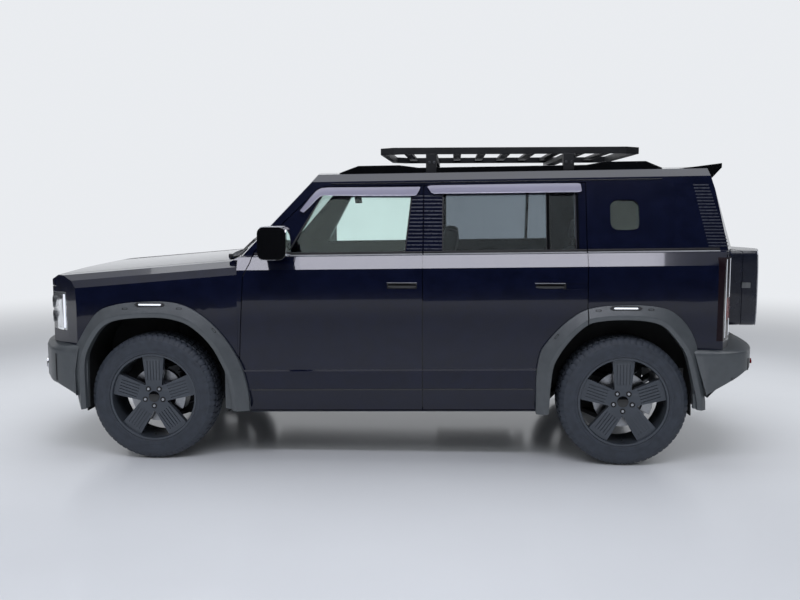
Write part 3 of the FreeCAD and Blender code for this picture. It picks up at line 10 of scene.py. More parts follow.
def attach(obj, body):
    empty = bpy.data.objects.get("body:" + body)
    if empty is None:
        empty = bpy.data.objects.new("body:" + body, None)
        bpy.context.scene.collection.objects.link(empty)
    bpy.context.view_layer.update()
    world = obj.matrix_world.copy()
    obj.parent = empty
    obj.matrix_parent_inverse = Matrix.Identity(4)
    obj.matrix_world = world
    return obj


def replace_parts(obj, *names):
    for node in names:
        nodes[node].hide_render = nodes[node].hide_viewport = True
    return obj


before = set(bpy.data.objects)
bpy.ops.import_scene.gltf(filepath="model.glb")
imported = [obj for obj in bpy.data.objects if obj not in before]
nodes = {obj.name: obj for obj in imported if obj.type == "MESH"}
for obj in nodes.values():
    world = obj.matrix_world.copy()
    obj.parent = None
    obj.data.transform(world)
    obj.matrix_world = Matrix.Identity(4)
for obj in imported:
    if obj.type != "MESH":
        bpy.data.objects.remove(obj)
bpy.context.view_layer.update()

# Looks of the boxy 4x4 in its studio, in metres: +X runs to the rear, +Y to the right, +Z up.

SIDES = (("left", -1), ("right", 1))
AXLES = (("front", -1.4825), ("rear", 1.3175))
AXLE_Z = 0.3815
HALF_TRACK = 0.85
# Rise of the body's lines for each metre to the rear
RAKE = 0.013
# Clear of the body on either side, where rays at a side panel start
OUTSIDE_Y = 1.4
BACK = Vector((1, 0, 0))
UP = Vector((0, 0, 1))


# Materials


def settle(node, values):
    """Writes constants to a node's inputs; _ in a key stands for a space."""
    for key, value in values.items():
        node.inputs[key.replace("_", " ")].default_value = value


def new_node(tree, kind, **values):
    made = tree.nodes.new("ShaderNode" + kind)
    settle(made, values)
    return made


def math_node(tree, operation, first, second):
    made = new_node(tree, "Math")
    made.operation = operation
    tree.links.new(first, made.inputs[0])
    tree.links.new(second, made.inputs[1])
    return made.outputs[0]


def worn_tint(tree, tint, wear, wear_colour):
    """Mixes a lighter colour in where the surface turns sharply."""
    edge = new_node(tree, "MapRange", From_Min=0.53, From_Max=0.62, To_Max=wear)
    tree.links.new(new_node(tree, "NewGeometry").outputs["Pointiness"], edge.inputs["Value"])
    mix = new_node(tree, "Mix")
    mix.data_type = "RGBA"
    mix.inputs["B"].default_value = (*wear_colour, 1)
    tree.links.new(edge.outputs["Result"], mix.inputs["Factor"])
    tree.links.new(tint, mix.inputs["A"])
    return mix.outputs["Result"]


def surface(name, colour, rough, metal=0.0, vary=0.12, scale=9.0, grain=0.0, grain_scale=900.0,
            wear=0.0, wear_colour=None, coat=0.0, specular=0.5, slot=None, **extra):
    """Painted, moulded or metal surface: cloudy colour and roughness, fine grain, lighter worn edges."""
    made = bpy.data.materials.new(name)
    made.use_nodes = True
    tree = made.node_tree
    shader = tree.nodes["Principled BSDF"]
    place = new_node(tree, "TexCoord").outputs["Object"]
    cloud = new_node(tree, "TexNoise", Scale=scale, Detail=5)
    ramp = new_node(tree, "ValToRGB")
    for stop, at, gain in zip(ramp.color_ramp.elements, (0.3, 0.7), (1 - vary, 1 + vary)):
        stop.position = at
        stop.color = (*[min(1, c * gain) for c in colour], 1)
    tree.links.new(place, cloud.inputs["Vector"])
    tree.links.new(cloud.outputs["Fac"], ramp.inputs["Fac"])
    tint = ramp.outputs["Color"]
    if wear:
        tint = worn_tint(tree, tint, wear, wear_colour)
    tree.links.new(tint, shader.inputs["Base Color"])
    spread = new_node(tree, "MapRange", To_Min=rough * 0.82, To_Max=min(1.0, rough * 1.18))
    tree.links.new(cloud.outputs["Fac"], spread.inputs["Value"])
    tree.links.new(spread.outputs["Result"], shader.inputs["Roughness"])
    if grain:
        fine = new_node(tree, "TexNoise", Scale=grain_scale, Detail=3)
        bump = new_node(tree, "Bump", Strength=grain, Distance=0.001)
        tree.links.new(place, fine.inputs["Vector"])
        tree.links.new(fine.outputs["Fac"], bump.inputs["Height"])
        tree.links.new(bump.outputs["Normal"], shader.inputs["Normal"])
    settle(shader, {"Metallic": metal, "Specular IOR Level": specular, "Coat Weight": coat,
                    "Coat Roughness": 0.03, **extra})
    return made


def glass_surface(name, colour, slot=None, rough=0.0, transmission=1.0):
    return surface(name, colour, rough, vary=0.03, scale=3, slot=slot, IOR=1.45,
                   Transmission_Weight=transmission)


PAINT = surface("paint", (0.0032, 0.0050, 0.0185), 0.14, vary=0.2, scale=14, grain=0.02, grain_scale=420,
                coat=0.6, specular=0.2, slot="paint")
TRIM = surface("trim_plastic", (0.074, 0.084, 0.092), 0.36, vary=0.1, scale=22, grain=0.5, grain_scale=1500,
               wear=0.25, wear_colour=(0.17, 0.18, 0.19), specular=0.75, slot="trim")
GLOSS = surface("gloss_black", (0.003, 0.0033, 0.004), 0.07, vary=0.2, grain=0.01, grain_scale=500, coat=0.6,
                slot="gloss")
GLASS = glass_surface("glass_clear", (0.82, 0.94, 0.91), "glass")
DARK_GLASS = glass_surface("glass_smoked", (0.40, 0.44, 0.47), "glass")
SMOKE = glass_surface("visor_acrylic", (0.36, 0.35, 0.46), rough=0.06, transmission=0.35)
HEAD_LENS = glass_surface("head_lens", (0.92, 0.94, 0.97), "head_lens", transmission=0.9)
RUBBER = surface("tyre_rubber", (0.038, 0.046, 0.061), 0.6, vary=0.18, scale=30, grain=0.5, grain_scale=1100,
                 wear=0.3, wear_colour=(0.10, 0.105, 0.11), slot="tyre")
WHEEL = surface("wheel_paint", (0.066, 0.077, 0.094), 0.32, metal=0.35, vary=0.08, grain=0.1,
                grain_scale=1700, coat=0.3, wear=0.2, wear_colour=(0.16, 0.17, 0.18), slot="wheel")
STEEL = surface("brushed_steel", (0.42, 0.43, 0.45), 0.3, metal=1, scale=60, grain=0.2, slot="steel")
METAL = surface("dull_metal", (0.24, 0.25, 0.26), 0.42, metal=1, vary=0.2, scale=25, grain=0.3, slot="metal")
UNDER = surface("underbody_coat", (0.018, 0.019, 0.02), 0.75, vary=0.3, scale=18, grain=0.6, grain_scale=500,
                slot="underbody")
SEAT = surface("seat_leather", (0.028, 0.028, 0.030), 0.48, vary=0.14, scale=30, grain=0.55, grain_scale=750,
               slot="seat")
SEAM = surface("seat_thread", (0.12, 0.12, 0.125), 0.7, vary=0.2, scale=200, grain=0.5, slot="seat")
INTERIOR = surface("cabin_plastic", (0.022, 0.023, 0.025), 0.6, scale=24, grain=0.5, grain_scale=1200,
                   slot="interior")
RACK = surface("rack_coat", (0.010, 0.011, 0.013), 0.42, vary=0.15, grain=0.4, grain_scale=1500, wear=0.3,
               wear_colour=(0.07, 0.07, 0.075), slot="rack")
# Also paints shade: the dark strips in the door handles' recesses and the bumpers' corner grooves.
SEAL = surface("seal_rubber", (0.008, 0.008, 0.009), 0.5, vary=0.2, scale=40, grain=0.3)
# Its glow also paints the reflections on the tail lamps' edges.
LAMP = surface("lamp_white", (0.82, 0.84, 0.88), 0.22, vary=0.04, scale=80, grain=0.1, coat=0.6,
               slot="head_lens", Emission_Color=(0.85, 0.9, 1, 1), Emission_Strength=0.55)
REFLECTOR = surface("lamp_reflector", (0.75, 0.76, 0.78), 0.12, metal=1, vary=0.06, scale=60, grain=0.1)
SMOKED = surface("lamp_smoked", (0.012, 0.006, 0.009), 0.24, vary=0.2, scale=50, grain=0.05, specular=0.15,
                 slot="tail_lens")
CASE = surface("case_shell", (0.010, 0.013, 0.026), 0.26, vary=0.15, scale=30, grain=0.2, grain_scale=1200,
               coat=0.3, slot="gloss")
# Also paints highlights: the bright strips on the mirrors and over the door handles.
SATIN = surface("satin_silver", (0.46, 0.47, 0.50), 0.34, metal=0.35, vary=0.06, scale=50, grain=0.15,
                slot="gloss")
RED = surface("lamp_red", (0.33, 0.006, 0.008), 0.14, vary=0.15, scale=70, grain=0.2, grain_scale=600,
              coat=0.8, slot="tail_lens")
PLATE = surface("blank_plate", (0.62, 0.63, 0.64), 0.4, vary=0.04, scale=30, grain=0.15, grain_scale=700,
                slot="metal")
MIRROR = surface("mirror_silver", (0.85, 0.87, 0.9), 0.02, metal=1, vary=0.02, scale=5, slot="metal")
BOLT = surface("bolt_zinc", (0.14, 0.145, 0.155), 0.38, metal=1, vary=0.2, scale=80, grain=0.3, slot="metal")
NUT = surface("wheel_nut", (0.40, 0.42, 0.45), 0.3, metal=0.25, vary=0.1, scale=80, grain=0.2, coat=0.4,
              slot="metal")
LOUVRE = surface("louvre_plastic", (0.030, 0.034, 0.050), 0.28, scale=40, grain=0.2, coat=0.3, slot="gloss")
LACQUER = surface("screen_lacquer", (0.006, 0.007, 0.009), 0.06, vary=0.2, scale=10, coat=1, slot="gloss")


# Mesh helpers

def scene_object(name, data):
    obj = bpy.data.objects.new(name, data)
    bpy.context.scene.collection.objects.link(obj)
    return obj


def new_mesh(name, verts, faces):
    mesh = bpy.data.meshes.new(name)
    mesh.from_pydata([tuple(v) for v in verts], [], [tuple(f) for f in faces])
    return mesh


def piece(name, verts, faces, body, material, smooth=30, bevel=0.0, segments=2, slot=None, subdivide=0):
    """A new mesh that rides on a body, with soft edges where a width is given."""
    mesh = new_mesh(name, verts, faces)
    mesh.update()
    form = bmesh.new()
    form.from_mesh(mesh)
    bmesh.ops.recalc_face_normals(form, faces=form.faces)
    form.to_mesh(mesh)
    form.free()
    mesh.shade_smooth()
    mesh.set_sharp_from_angle(angle=math.radians(smooth))
    obj = scene_object(name, mesh)
    mesh.materials.append(material)
    if bevel:
        soften(obj, bevel, segments)
    if subdivide:
        rounder = obj.modifiers.new("round", "SUBSURF")
        rounder.levels = subdivide
        rounder.render_levels = subdivide
    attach(obj, body)
    return obj


def soften(obj, width, segments=2, angle=32):
    edge = obj.modifiers.new("edge", "BEVEL")
    edge.width = width
    edge.segments = segments
    edge.limit_method = "ANGLE"
    edge.angle_limit = math.radians(angle)
    edge.harden_normals = False
    edge.use_clamp_overlap = True
    even = obj.modifiers.new("even", "WEIGHTED_NORMAL")
    even.keep_sharp = False
    even.weight = 60


def smooth_curve(points, count):
    """Even points along a smooth line through the given ones."""
    line = np.array(points, float)
    for _ in range(2):
        both = np.empty((2 * len(line) - 2, line.shape[1]))
        both[0::2] = line[:-1] * 0.75 + line[1:] * 0.25
        both[1::2] = line[:-1] * 0.25 + line[1:] * 0.75
        line = np.vstack([line[:1], both, line[-1:]])
    run = np.concatenate([[0], np.cumsum(np.linalg.norm(np.diff(line, axis=0), axis=1))])
    at = np.linspace(0, run[-1], count)
    return [tuple(float(np.interp(s, run, line[:, k])) for k in range(line.shape[1])) for s in at]


def cut_at(verts, faces, x, keep_rear):
    """The part of a closed form in front of or behind a cross plane, closed again."""
    mesh = new_mesh("cut", verts, faces)
    form = bmesh.new()
    form.from_mesh(mesh)
    bmesh.ops.recalc_face_normals(form, faces=form.faces)
    everything = list(form.verts) + list(form.edges) + list(form.faces)
    bmesh.ops.bisect_plane(form, geom=everything, plane_co=(x, 0, 0), plane_no=(1, 0, 0),
                           clear_inner=keep_rear, clear_outer=not keep_rear)
    rim = [e for e in form.edges if e.is_boundary]
    bmesh.ops.holes_fill(form, edges=rim, sides=0)
    form.to_mesh(mesh)
    form.free()
    result = [v.co.copy() for v in mesh.vertices], [tuple(p.vertices) for p in mesh.polygons]
    bpy.data.meshes.remove(mesh)
    return result


def section(at, u, w, shape):
    """Cross-section about a point: (a, b) pairs along two directions."""
    return [at + u * a + w * b for a, b in shape]


def square(a0, a1, b0, b1):
    """Corners of a rectangle, in order round it."""
    return ((a0, b0), (a1, b0), (a1, b1), (a0, b1))


def cross_axes(axis, spare):
    """Two directions square to an axis; spare guides them where the axis is upright."""
    guide = UP if abs(axis.z) < 0.9 else Vector(spare)
    u = axis.cross(guide).normalized()
    return u, axis.cross(u).normalized()


def circle(at, u, w, radius, sides, flat=1.0):
    turns = [2 * math.pi * k / sides for k in range(sides)]
    return [at + u * (radius * math.cos(a)) + w * (radius * flat * math.sin(a)) for a in turns]


class Build:
    """Gathers the faces of many small forms in one mesh."""

    def __init__(self):
        self.verts = []
        self.faces = []

    def add(self, verts, faces):
        start = len(self.verts)
        self.verts += [Vector(v) for v in verts]
        self.faces += [tuple(start + i for i in f) for f in faces]

    def loft(self, rings, caps=True):
        """Joins closed rings of equal point count; caps close the ends."""
        if len(rings) < 2:
            return
        count = len(rings[0])
        last = (len(rings) - 1) * count
        faces = []
        for first in range(0, last, count):
            for i in range(count):
                a, b = first + i, first + (i + 1) % count
                faces.append((a, b, b + count, a + count))
        if caps:
            faces.append(tuple(range(count)))
            faces.append(tuple(last + i for i in reversed(range(count))))
        self.add([p for ring in rings for p in ring], faces)

    def block(self, low, high, turn=None, at=(0, 0, 0)):
        x0, y0, z0 = low
        x1, y1, z1 = high
        corners = [Vector((x, y, z)) for z in (z0, z1) for x, y in square(x0, x1, y0, y1)]
        if turn is not None:
            corners = [turn @ p for p in corners]
        self.add([p + Vector(at) for p in corners],
                 [(3, 2, 1, 0), (4, 5, 6, 7), (0, 1, 5, 4), (1, 2, 6, 5), (2, 3, 7, 6), (3, 0, 4, 7)])

    def tube(self, points, radius, sides=8, flat=1.0):
        """Tube along points; flat squeezes it towards a strip."""
        points = [Vector(p) for p in points]
        rings = []
        for i, p in enumerate(points):
            ahead = points[min(i + 1, len(points) - 1)] - points[max(i - 1, 0)]
            u, w = cross_axes(ahead.normalized(), (0, 1, 0))
            rings.append(circle(p, u, w, radius, sides, flat))
        self.loft(rings)

    def lathe(self, profile, centre, axis, sides=24):
        """Revolves (radius, reach) points about an axis line."""
        axis = Vector(axis).normalized()
        u, w = cross_axes(axis, BACK)
        self.loft([circle(Vector(centre) + axis * reach, u, w, radius, sides) for radius, reach in profile])

    def done(self, name, body, material, **options):
        return piece(name, self.verts, self.faces, body, material, **options)


def lofted(name, rings, body, material, **options):
    """A piece made of one loft."""
    build = Build()
    build.loft(rings)
    return build.done(name, body, material, **options)


def tree_over(objects):
    """Search tree over the surfaces of objects."""
    verts, faces = [], []
    for obj in objects:
        start = len(verts)
        verts += [v.co.copy() for v in obj.data.vertices]
        faces += [[start + i for i in p.vertices] for p in obj.data.polygons]
    return BVHTree.FromPolygons(verts, faces)


def tree_of(*names):
    return tree_over([nodes[name] for name in names])


def hits(tree, starts, toward):
    """First points met from the starts, each with its normal turned back to the start."""
    toward = Vector(toward)
    found = []
    for start in starts:
        hit, normal, _, _ = tree.ray_cast(Vector(start), toward)
        if hit is not None:
            found.append((hit, normal if normal.dot(toward) < 0 else -normal))
    return found


def side_hits(tree, spots, sign):
    """Outermost points and outward normals of a side surface at (x, z) spots."""
    return hits(tree, [(x, sign * OUTSIDE_Y, z) for x, z in spots], (0, -sign, 0))


# Half width of the cabin's outer skin by its height above the raked ground line
SKIN = ((0.298, 0.908), (0.44, 0.948), (0.551, 0.948), (0.56, 0.939), (0.705, 0.953), (0.85, 0.958),
        (1.005, 0.957), (1.16, 0.953), (1.235, 0.915), (1.245, 0.89), (1.677, 0.752), (1.722, 0.7))


def on_skin(x, z, sign, proud=0.0):
    half = float(np.interp(z - RAKE * x, *zip(*SKIN)))
    return Vector((x, sign * (half + proud), z))


def skin_line(name, body, material, sign, span, level, height, proud, count=24, rake=RAKE, **options):
    """Strip along the side skin over a span of x, at a level that climbs with the rake."""
    rings = []
    for x in np.linspace(*span, count):
        ring = square(-0.004, proud, level + rake * x - height / 2, level + rake * x + height / 2)
        rings.append([on_skin(x, z, sign, out) for out, z in ring])
    lofted(name, rings, body, material, **options)


# Materials of the CAD nodes

def dress(name, material, width):
    obj = nodes[name]
    obj.data.materials.clear()
    obj.data.materials.append(material)
    weld = obj.modifiers.new("weld", "WELD")
    weld.merge_threshold = 0.00002
    if width:
        soften(obj, width, angle=13 if material is PAINT else 32)


CORNERS = [place + "_" + side for place in ("front", "rear") for side in ("left", "right")]
COATS = [(PAINT, 0.006, ("side_frames", "front_fenders")), (PAINT, 0.004, ("roof_panel", "tailgate")),
         (PAINT, 0.007, ("hood",)), (PAINT, 0.0045, ["door_" + c for c in CORNERS]),
         (TRIM, 0.0, ("arch_flares", "door_flare_left", "door_flare_right", "front_bumper", "rear_bumper")),
         (TRIM, 0.002, ("cowl_panel", "mud_flaps")), (GLOSS, 0.003, ("roof_rails", "roof_spoiler")),
         (GLOSS, 0.0, ("storage_case",)), (GLOSS, 0.0015, ("grille",)),
         (GLOSS, 0.006, ("mirror_left", "mirror_right")), (UNDER, 0.001, ("wheel_liners",)),
         (UNDER, 0.002, ("floor_pan", "engine_bay", "front_suspension", "rear_suspension")),
         (UNDER, 0.012, ("fuel_tank",)), (METAL, 0.01, ("engine_block",)), (METAL, 0.0015, ("driveline",)),
         (METAL, 0.002, ("exhaust", "knuckle_left", "knuckle_right")), (INTERIOR, 0.008, ("dashboard",)),
         (INTERIOR, 0.0, ("steering_wheel",)), (RACK, 0.002, ("roof_rack",)),
         (GLASS, 0.0, ("fixed_glass", "glass_front_left", "glass_front_right")),
         (DARK_GLASS, 0.0, ("glass_rear_left", "glass_rear_right", "tailgate_glass")),
         (SMOKED, 0.004, ("tail_lamps",)), (HEAD_LENS, 0.003, ("headlamps",)),
         (WHEEL, 0.0022, ["rim_" + c for c in CORNERS]), (RUBBER, 0.0, ["tyre_" + c for c in CORNERS]),
         (SEAT, 0.0, ("front_seats", "rear_seat"))]
for material, width, names in COATS:
    for name in names:
        dress(name, material, width)


# Wheels

# The tread repeats its blocks round the tyre; each pitch has that many columns of points
PITCHES, STEPS = 62, 7
TREAD_DEPTH = 0.0075
SHOULDER_DEPTH = 0.004
TREAD_RADIUS = 0.352
SIDE_WALL = [(0.2652, 0.1165), (0.2668, 0.1225), (0.272, 0.1245), (0.276, 0.1232), (0.283, 0.1248),
             (0.286, 0.1262), (0.2885, 0.1262), (0.291, 0.1248), (0.305, 0.1266), (0.323, 0.1274),
             (0.336, 0.1268), (0.338, 0.1256), (0.3405, 0.1256), (0.3425, 0.1256), (0.349, 0.1228),
             (0.3535, 0.1190), (0.359, 0.1150), (0.3645, 0.1105), (0.3695, 0.1058), (0.3735, 0.1008)]


def tyre_grooves(y, turn, phase, pitch):
    """Where the tread is cut: zigzag lines round it, slanted cuts between them and cuts at its edges."""
    zig = 0.004 * np.sin(turn * PITCHES)[:, None]
    cut = (phase == pitch % 2) & (np.abs(y) >= 0.062)
    for line, swing in ((-0.066, 0.4), (-0.023, 1), (0.023, 1), (0.066, 0.4)):
        cut |= np.abs(y - line - zig * swing) < 0.0042
    slant = np.round((y + 0.1) / 0.2 * 3).astype(int)
    return cut | ((phase + slant) % STEPS == 0) & (np.abs(y) < 0.062)


def tyre_mesh():
    """Tyre about the Y axis with its outer face to +Y: moulded side walls and a block tread."""
    count = PITCHES * STEPS
    tread = [(AXLE_Z - 0.0062 * (y / 0.0975) ** 2, y) for y in np.linspace(0.0965, -0.0965, 37)]
    profile = SIDE_WALL + tread + [(r, -y) for r, y in reversed(SIDE_WALL)]
    radii, places = np.array(profile).T
    width = len(profile)
    turn = np.arange(count) * 2 * math.pi / count
    phase = (np.arange(count) % STEPS)[:, None]
    pitch = (np.arange(count) // STEPS)[:, None]
    in_tread = (np.arange(width) >= len(SIDE_WALL)) & (np.arange(width) < len(SIDE_WALL) + len(tread))
    on_shoulder = (radii > TREAD_RADIUS) & ~in_tread
    grid = np.repeat(radii[None, :], count, 0)
    grid = grid - np.where(tyre_grooves(places[None, :], turn, phase, pitch) & in_tread, TREAD_DEPTH, 0)
    grid = grid - np.where((phase <= 1) & on_shoulder, SHOULDER_DEPTH, 0)
    ys = np.repeat(places[None, :], count, 0)
    verts = np.stack([grid * np.sin(turn)[:, None], ys, grid * np.cos(turn)[:, None]], -1).reshape(-1, 3)
    faces = []
    for i in range(count):
        j = (i + 1) % count
        for k in range(width):
            m = (k + 1) % width
            faces.append((i * width + k, i * width + m, j * width + m, j * width + k))
    return verts, faces


def wheel_fittings():
    """Cap, nuts, their seats and valve about the Y axis, with their looks; the wheel's face lies at y 0.1."""
    cap, nuts, seats, valve = Build(), Build(), Build(), Build()
    cap.lathe([(0.0, 0.106), (0.024, 0.106), (0.0325, 0.1035), (0.0335, 0.099), (0.0335, 0.092)], (0, 0, 0),
              (0, 1, 0), 40)
    for n in range(5):
        angle = 2 * math.pi * (n + 0.5) / 5
        at = (0.057 * math.sin(angle), 0, 0.057 * math.cos(angle))
        nuts.lathe([(0.0, 0.1068), (0.0045, 0.1066), (0.0078, 0.1050), (0.0086, 0.1015), (0.0086, 0.09)], at,
                   (0, 1, 0), 12)
        seats.lathe([(0.0165, 0.094), (0.0165, 0.1009), (0.0152, 0.1013), (0.0128, 0.1006), (0.0, 0.1004)],
                    at, (0, 1, 0), 24)
    valve.tube([(0.0, 0.085, -0.236), (0.0, 0.102, -0.228)], 0.0038, 8)
    return (("hub_cap_", cap, GLOSS, {}), ("wheel_nuts_", nuts, NUT, {"bevel": 0.0008}),
            ("nut_seats_", seats, SEAL, {"slot": "wheel"}), ("valve_", valve, SEAL, {}))


def add_wheels():
    tyre_verts, tyre_faces = tyre_mesh()
    fittings = wheel_fittings()
    for place, axle_x in AXLES:
        for side, sign in SIDES:
            tag = place + "_" + side
            body = "wheel_" + tag
            turn = Matrix.Identity(3) if sign > 0 else Matrix.Rotation(math.pi, 3, "Z")
            at = Vector((axle_x, sign * HALF_TRACK, AXLE_Z))
            verts = [turn @ Vector(v) + at for v in tyre_verts]
            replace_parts(piece("tyre_tread_" + tag, verts, tyre_faces, body, RUBBER, smooth=38), "tyre_" + tag)
            for name, form, material, options in fittings:
                piece(name + tag, [turn @ v + at for v in form.verts], form.faces, body, material, **options)
            add_brake(place, side, axle_x, sign)


def add_brake(place, side, axle_x, sign):
    """Bright disc face on the wheel and a caliper on what carries it."""
    disc = Build()
    disc.lathe([(0.092, 0), (0.1, 0.0022), (0.164, 0.0022), (0.1648, 0.0), (0.1648, -0.031), (0.092, -0.031)],
               (axle_x, sign * (HALF_TRACK + 0.0265), AXLE_Z), (0, sign, 0), 56)
    disc.done("brake_face_" + place + "_" + side, "wheel_" + place + "_" + side, STEEL, smooth=40)
    caliper = Build()
    for low, high, y_from, y_to in ((0.121, 0.172, 0.0325, 0.0565), (0.121, 0.172, -0.0515, -0.0275),
                                    (0.168, 0.182, -0.052, 0.056)):
        rings = []
        for degrees in range(62, 119, 7):
            across, rise = math.sin(math.radians(degrees)), math.cos(math.radians(degrees))
            rings.append([(axle_x + r * across, sign * (HALF_TRACK + y), AXLE_Z + r * rise)
                          for r, y in square(low, high, y_from, y_to)])
        caliper.loft(rings)
    carrier = "knuckle_" + side if place == "front" else "chassis"
    caliper.done("caliper_" + place + "_" + side, carrier, STEEL, bevel=0.003)


add_wheels()


# Side of the body: louvres, visors, mouldings and window seals

# Edges and lengths of the doors, which the windows and flares are measured on
SPLIT_X = 0.1416
DOOR_X = -0.9595
FRONT_RUN = 1.1011
REAR_RUN = 0.9609
DOOR_END = 1.1025
# Corners of a door's windows as shares of its length and height
FRONT_WINDOWS = [((0.266, 0.013), (0.455, 0.91), (0.935, 0.92), (0.9, 0.013))]
REAR_WINDOWS = [((0.123, 0.013), (0.123, 0.92), (0.756, 0.92), (0.756, 0.013)),
                ((0.776, 0.013), (0.776, 0.92), (0.931, 0.92), (0.931, 0.013))]
# Outer and inner edge of each wind deflector, as (x, z) points
FRONT_VISOR = ([(-0.603, 1.497), (-0.567, 1.545), (-0.534, 1.588), (-0.505, 1.619), (-0.478, 1.633),
                (-0.44, 1.637), (-0.3, 1.6375), (-0.15, 1.638), (0.02, 1.639), (0.116, 1.64), (0.122, 1.636)],
               [(-0.576, 1.487), (-0.533, 1.527), (-0.503, 1.562), (-0.480, 1.582), (-0.456, 1.590),
                (-0.42, 1.5875), (-0.3, 1.5865), (-0.15, 1.586), (0.02, 1.5855), (0.096, 1.587),
                (0.106, 1.6)])
REAR_VISOR = ([(0.163, 1.640), (0.180, 1.648), (0.3, 1.650), (0.5, 1.6525), (0.75, 1.656), (1.0, 1.6585),
               (1.055, 1.6590), (1.0725, 1.655)],
              [(0.186, 1.606), (0.204, 1.598), (0.3, 1.5985), (0.5, 1.6005), (0.75, 1.603), (1.0, 1.6055),
               (1.058, 1.6055), (1.0755, 1.612)])


def rib_bank(name, body, sign, node, rows):
    """Slats that follow a side panel; each row is (z, x from, x to)."""
    tall, proud, sunk = 0.0042, 0.0038, -0.003
    shape = ((sunk, -tall), (proud, -tall * 0.8), (proud * 0.4, tall), (sunk, tall))
    tree = tree_of(node)
    build = Build()
    for z, x_from, x_to in rows:
        count = max(3, int((x_to - x_from) / 0.012) + 1)
        found = side_hits(tree, [(x, z) for x in np.linspace(x_from, x_to, count)], sign)
        build.loft([section(hit, out, UP, shape) for hit, out in found])
    build.done(name, body, LOUVRE, smooth=20, bevel=0.0008)


def add_louvres(side, sign):
    corner, front, rear = [], [], []
    for n in range(20):
        z = 1.292 + n * 0.0186
        share = (z - 1.280) / (1.638 - 1.280)
        corner.append((z, 1.8005 - 0.070 * share, 1.918 - 0.098 * share))
    for n in range(15):
        z = 1.2725 + n * 0.0222
        front.append((z, 0.0425 + 0.036 * (z - 1.25) / 0.37, 0.1375))
        rear.append((z, 0.1462, 0.2535))
    rib_bank("corner_louvre_" + side, "chassis", sign, "side_frames", corner)
    for place, rows in (("front", front), ("rear", rear)):
        door = "door_" + place + "_" + side
        rib_bank("louvre_" + place + "_" + side, door, sign, door, rows)


def add_visor(name, body, sign, edges):
    """Curved blade between an outer and an inner edge: it starts on the skin and stands off it."""
    rise, stand, thick = 0.003, 0.022, 0.0026
    shares = (0, 0.25, 0.55, 0.8, 1)
    across = [(s, 0) for s in shares] + [(s, thick) for s in reversed(shares)]
    rings = []
    for (xo, zo), (xi, zi) in zip(*edges):
        rings.append([on_skin(xo + (xi - xo) * s, zo + (zi - zo) * s, sign,
                              rise + stand * math.sin(s * math.pi / 2) - depth) for s, depth in across])
    lofted(name, rings, body, SMOKE, smooth=50, bevel=0.0008)


def round_corners(points, radius=0.022, steps=6):
    line = []
    for i, p in enumerate(points):
        here = Vector(p)
        a, b = (here + (Vector(other) - here).normalized() * radius
                for other in (points[i - 1], points[(i + 1) % len(points)]))
        for t in (k / steps for k in range(steps + 1)):
            line.append(a * (1 - t) ** 2 + here * (2 * t * (1 - t)) + b * t ** 2)
    return line


def add_window_seal(name, body, sign, windows, x_from, run, breadth):
    """Flat lips round the windows of a door."""
    build = Build()
    for shares in windows:
        points = []
        for s, t in shares:
            x = x_from + s * run
            points.append((x, 1.245 + t * 0.402 + RAKE * x))
        centre = Vector([sum(p[k] for p in points) / len(points) for k in (0, 1)])
        line = round_corners(points)
        rings = []
        for i, p in enumerate(line):
            ahead = (line[(i + 1) % len(line)] - line[i - 1]).normalized()
            away = Vector((ahead.y, -ahead.x))
            if away.dot(p - centre) < 0:
                away = -away
            outer, inner = p + away * breadth, p - away * 0.001
            ring = ((inner, -0.008), (inner, 0.0014), (outer, 0.0014 * 0.7), (outer, -0.002))
            rings.append([on_skin(spot.x, spot.y, sign, out) for spot, out in ring])
        build.loft(rings + rings[:1], caps=False)
    build.done(name, body, SEAL, smooth=45)


def add_mouldings(side, sign):
    """Bright line along the belt, black lines above it and at the sill, and a drip rail over the doors."""
    front, rear = "door_front_" + side, "door_rear_" + side
    for place, body, span in (("front_", front, (-0.868, 0.1383)), ("rear_", rear, (0.1449, 1.0992)),
                              ("quarter_", "chassis", (1.106, 1.862))):
        skin_line("belt_line_" + place + side, body, SATIN, sign, span, 1.2418, 0.0062, 0.0030, bevel=0.0008)
        skin_line("belt_seal_" + place + side, body, SEAL, sign, span, 1.2535, 0.0105, 0.0042, bevel=0.0012)
    skin_line("drip_rail_" + side, "chassis", GLOSS, sign, (-0.42, 1.55), 1.6625, 0.0055, 0.0032, 40,
              bevel=0.0008)
    for place, body, span in (("front_", front, (-0.885, 0.1383)), ("rear_", rear, (0.1449, 0.795))):
        skin_line("sill_line_" + place + side, body, GLOSS, sign, span, 0.44, 0.007, 0.0035, 20, bevel=0.001)


def add_posts(side, sign):
    """Black uprights at the rear pane and the door's edge."""
    posts = Build()
    for share, wide in ((0.766, 0.008), (0.946, 0.006)):
        x = SPLIT_X + share * REAR_RUN
        ring = square(-0.003, 0.0032, x - wide, x + wide)
        posts.loft([[on_skin(edge, z + RAKE * x, sign, out) for out, edge in ring]
                    for z in np.linspace(1.262, 1.612, 14)])
    posts.done("window_post_" + side, "door_rear_" + side, GLOSS, bevel=0.0012)


for side, sign in SIDES:
    front, rear = "door_front_" + side, "door_rear_" + side
    add_louvres(side, sign)
    add_visor("visor_front_" + side, front, sign, FRONT_VISOR)
    add_visor("visor_rear_" + side, rear, sign, REAR_VISOR)
    add_window_seal("window_seal_front_" + side, front, sign, FRONT_WINDOWS, DOOR_X, FRONT_RUN, 0.007)
    add_window_seal("window_seal_rear_" + side, rear, sign, REAR_WINDOWS, SPLIT_X, REAR_RUN, 0.006)
    add_posts(side, sign)
    add_mouldings(side, sign)


# Flares, bumpers and the case on the tailgate, rounder than their CAD solids

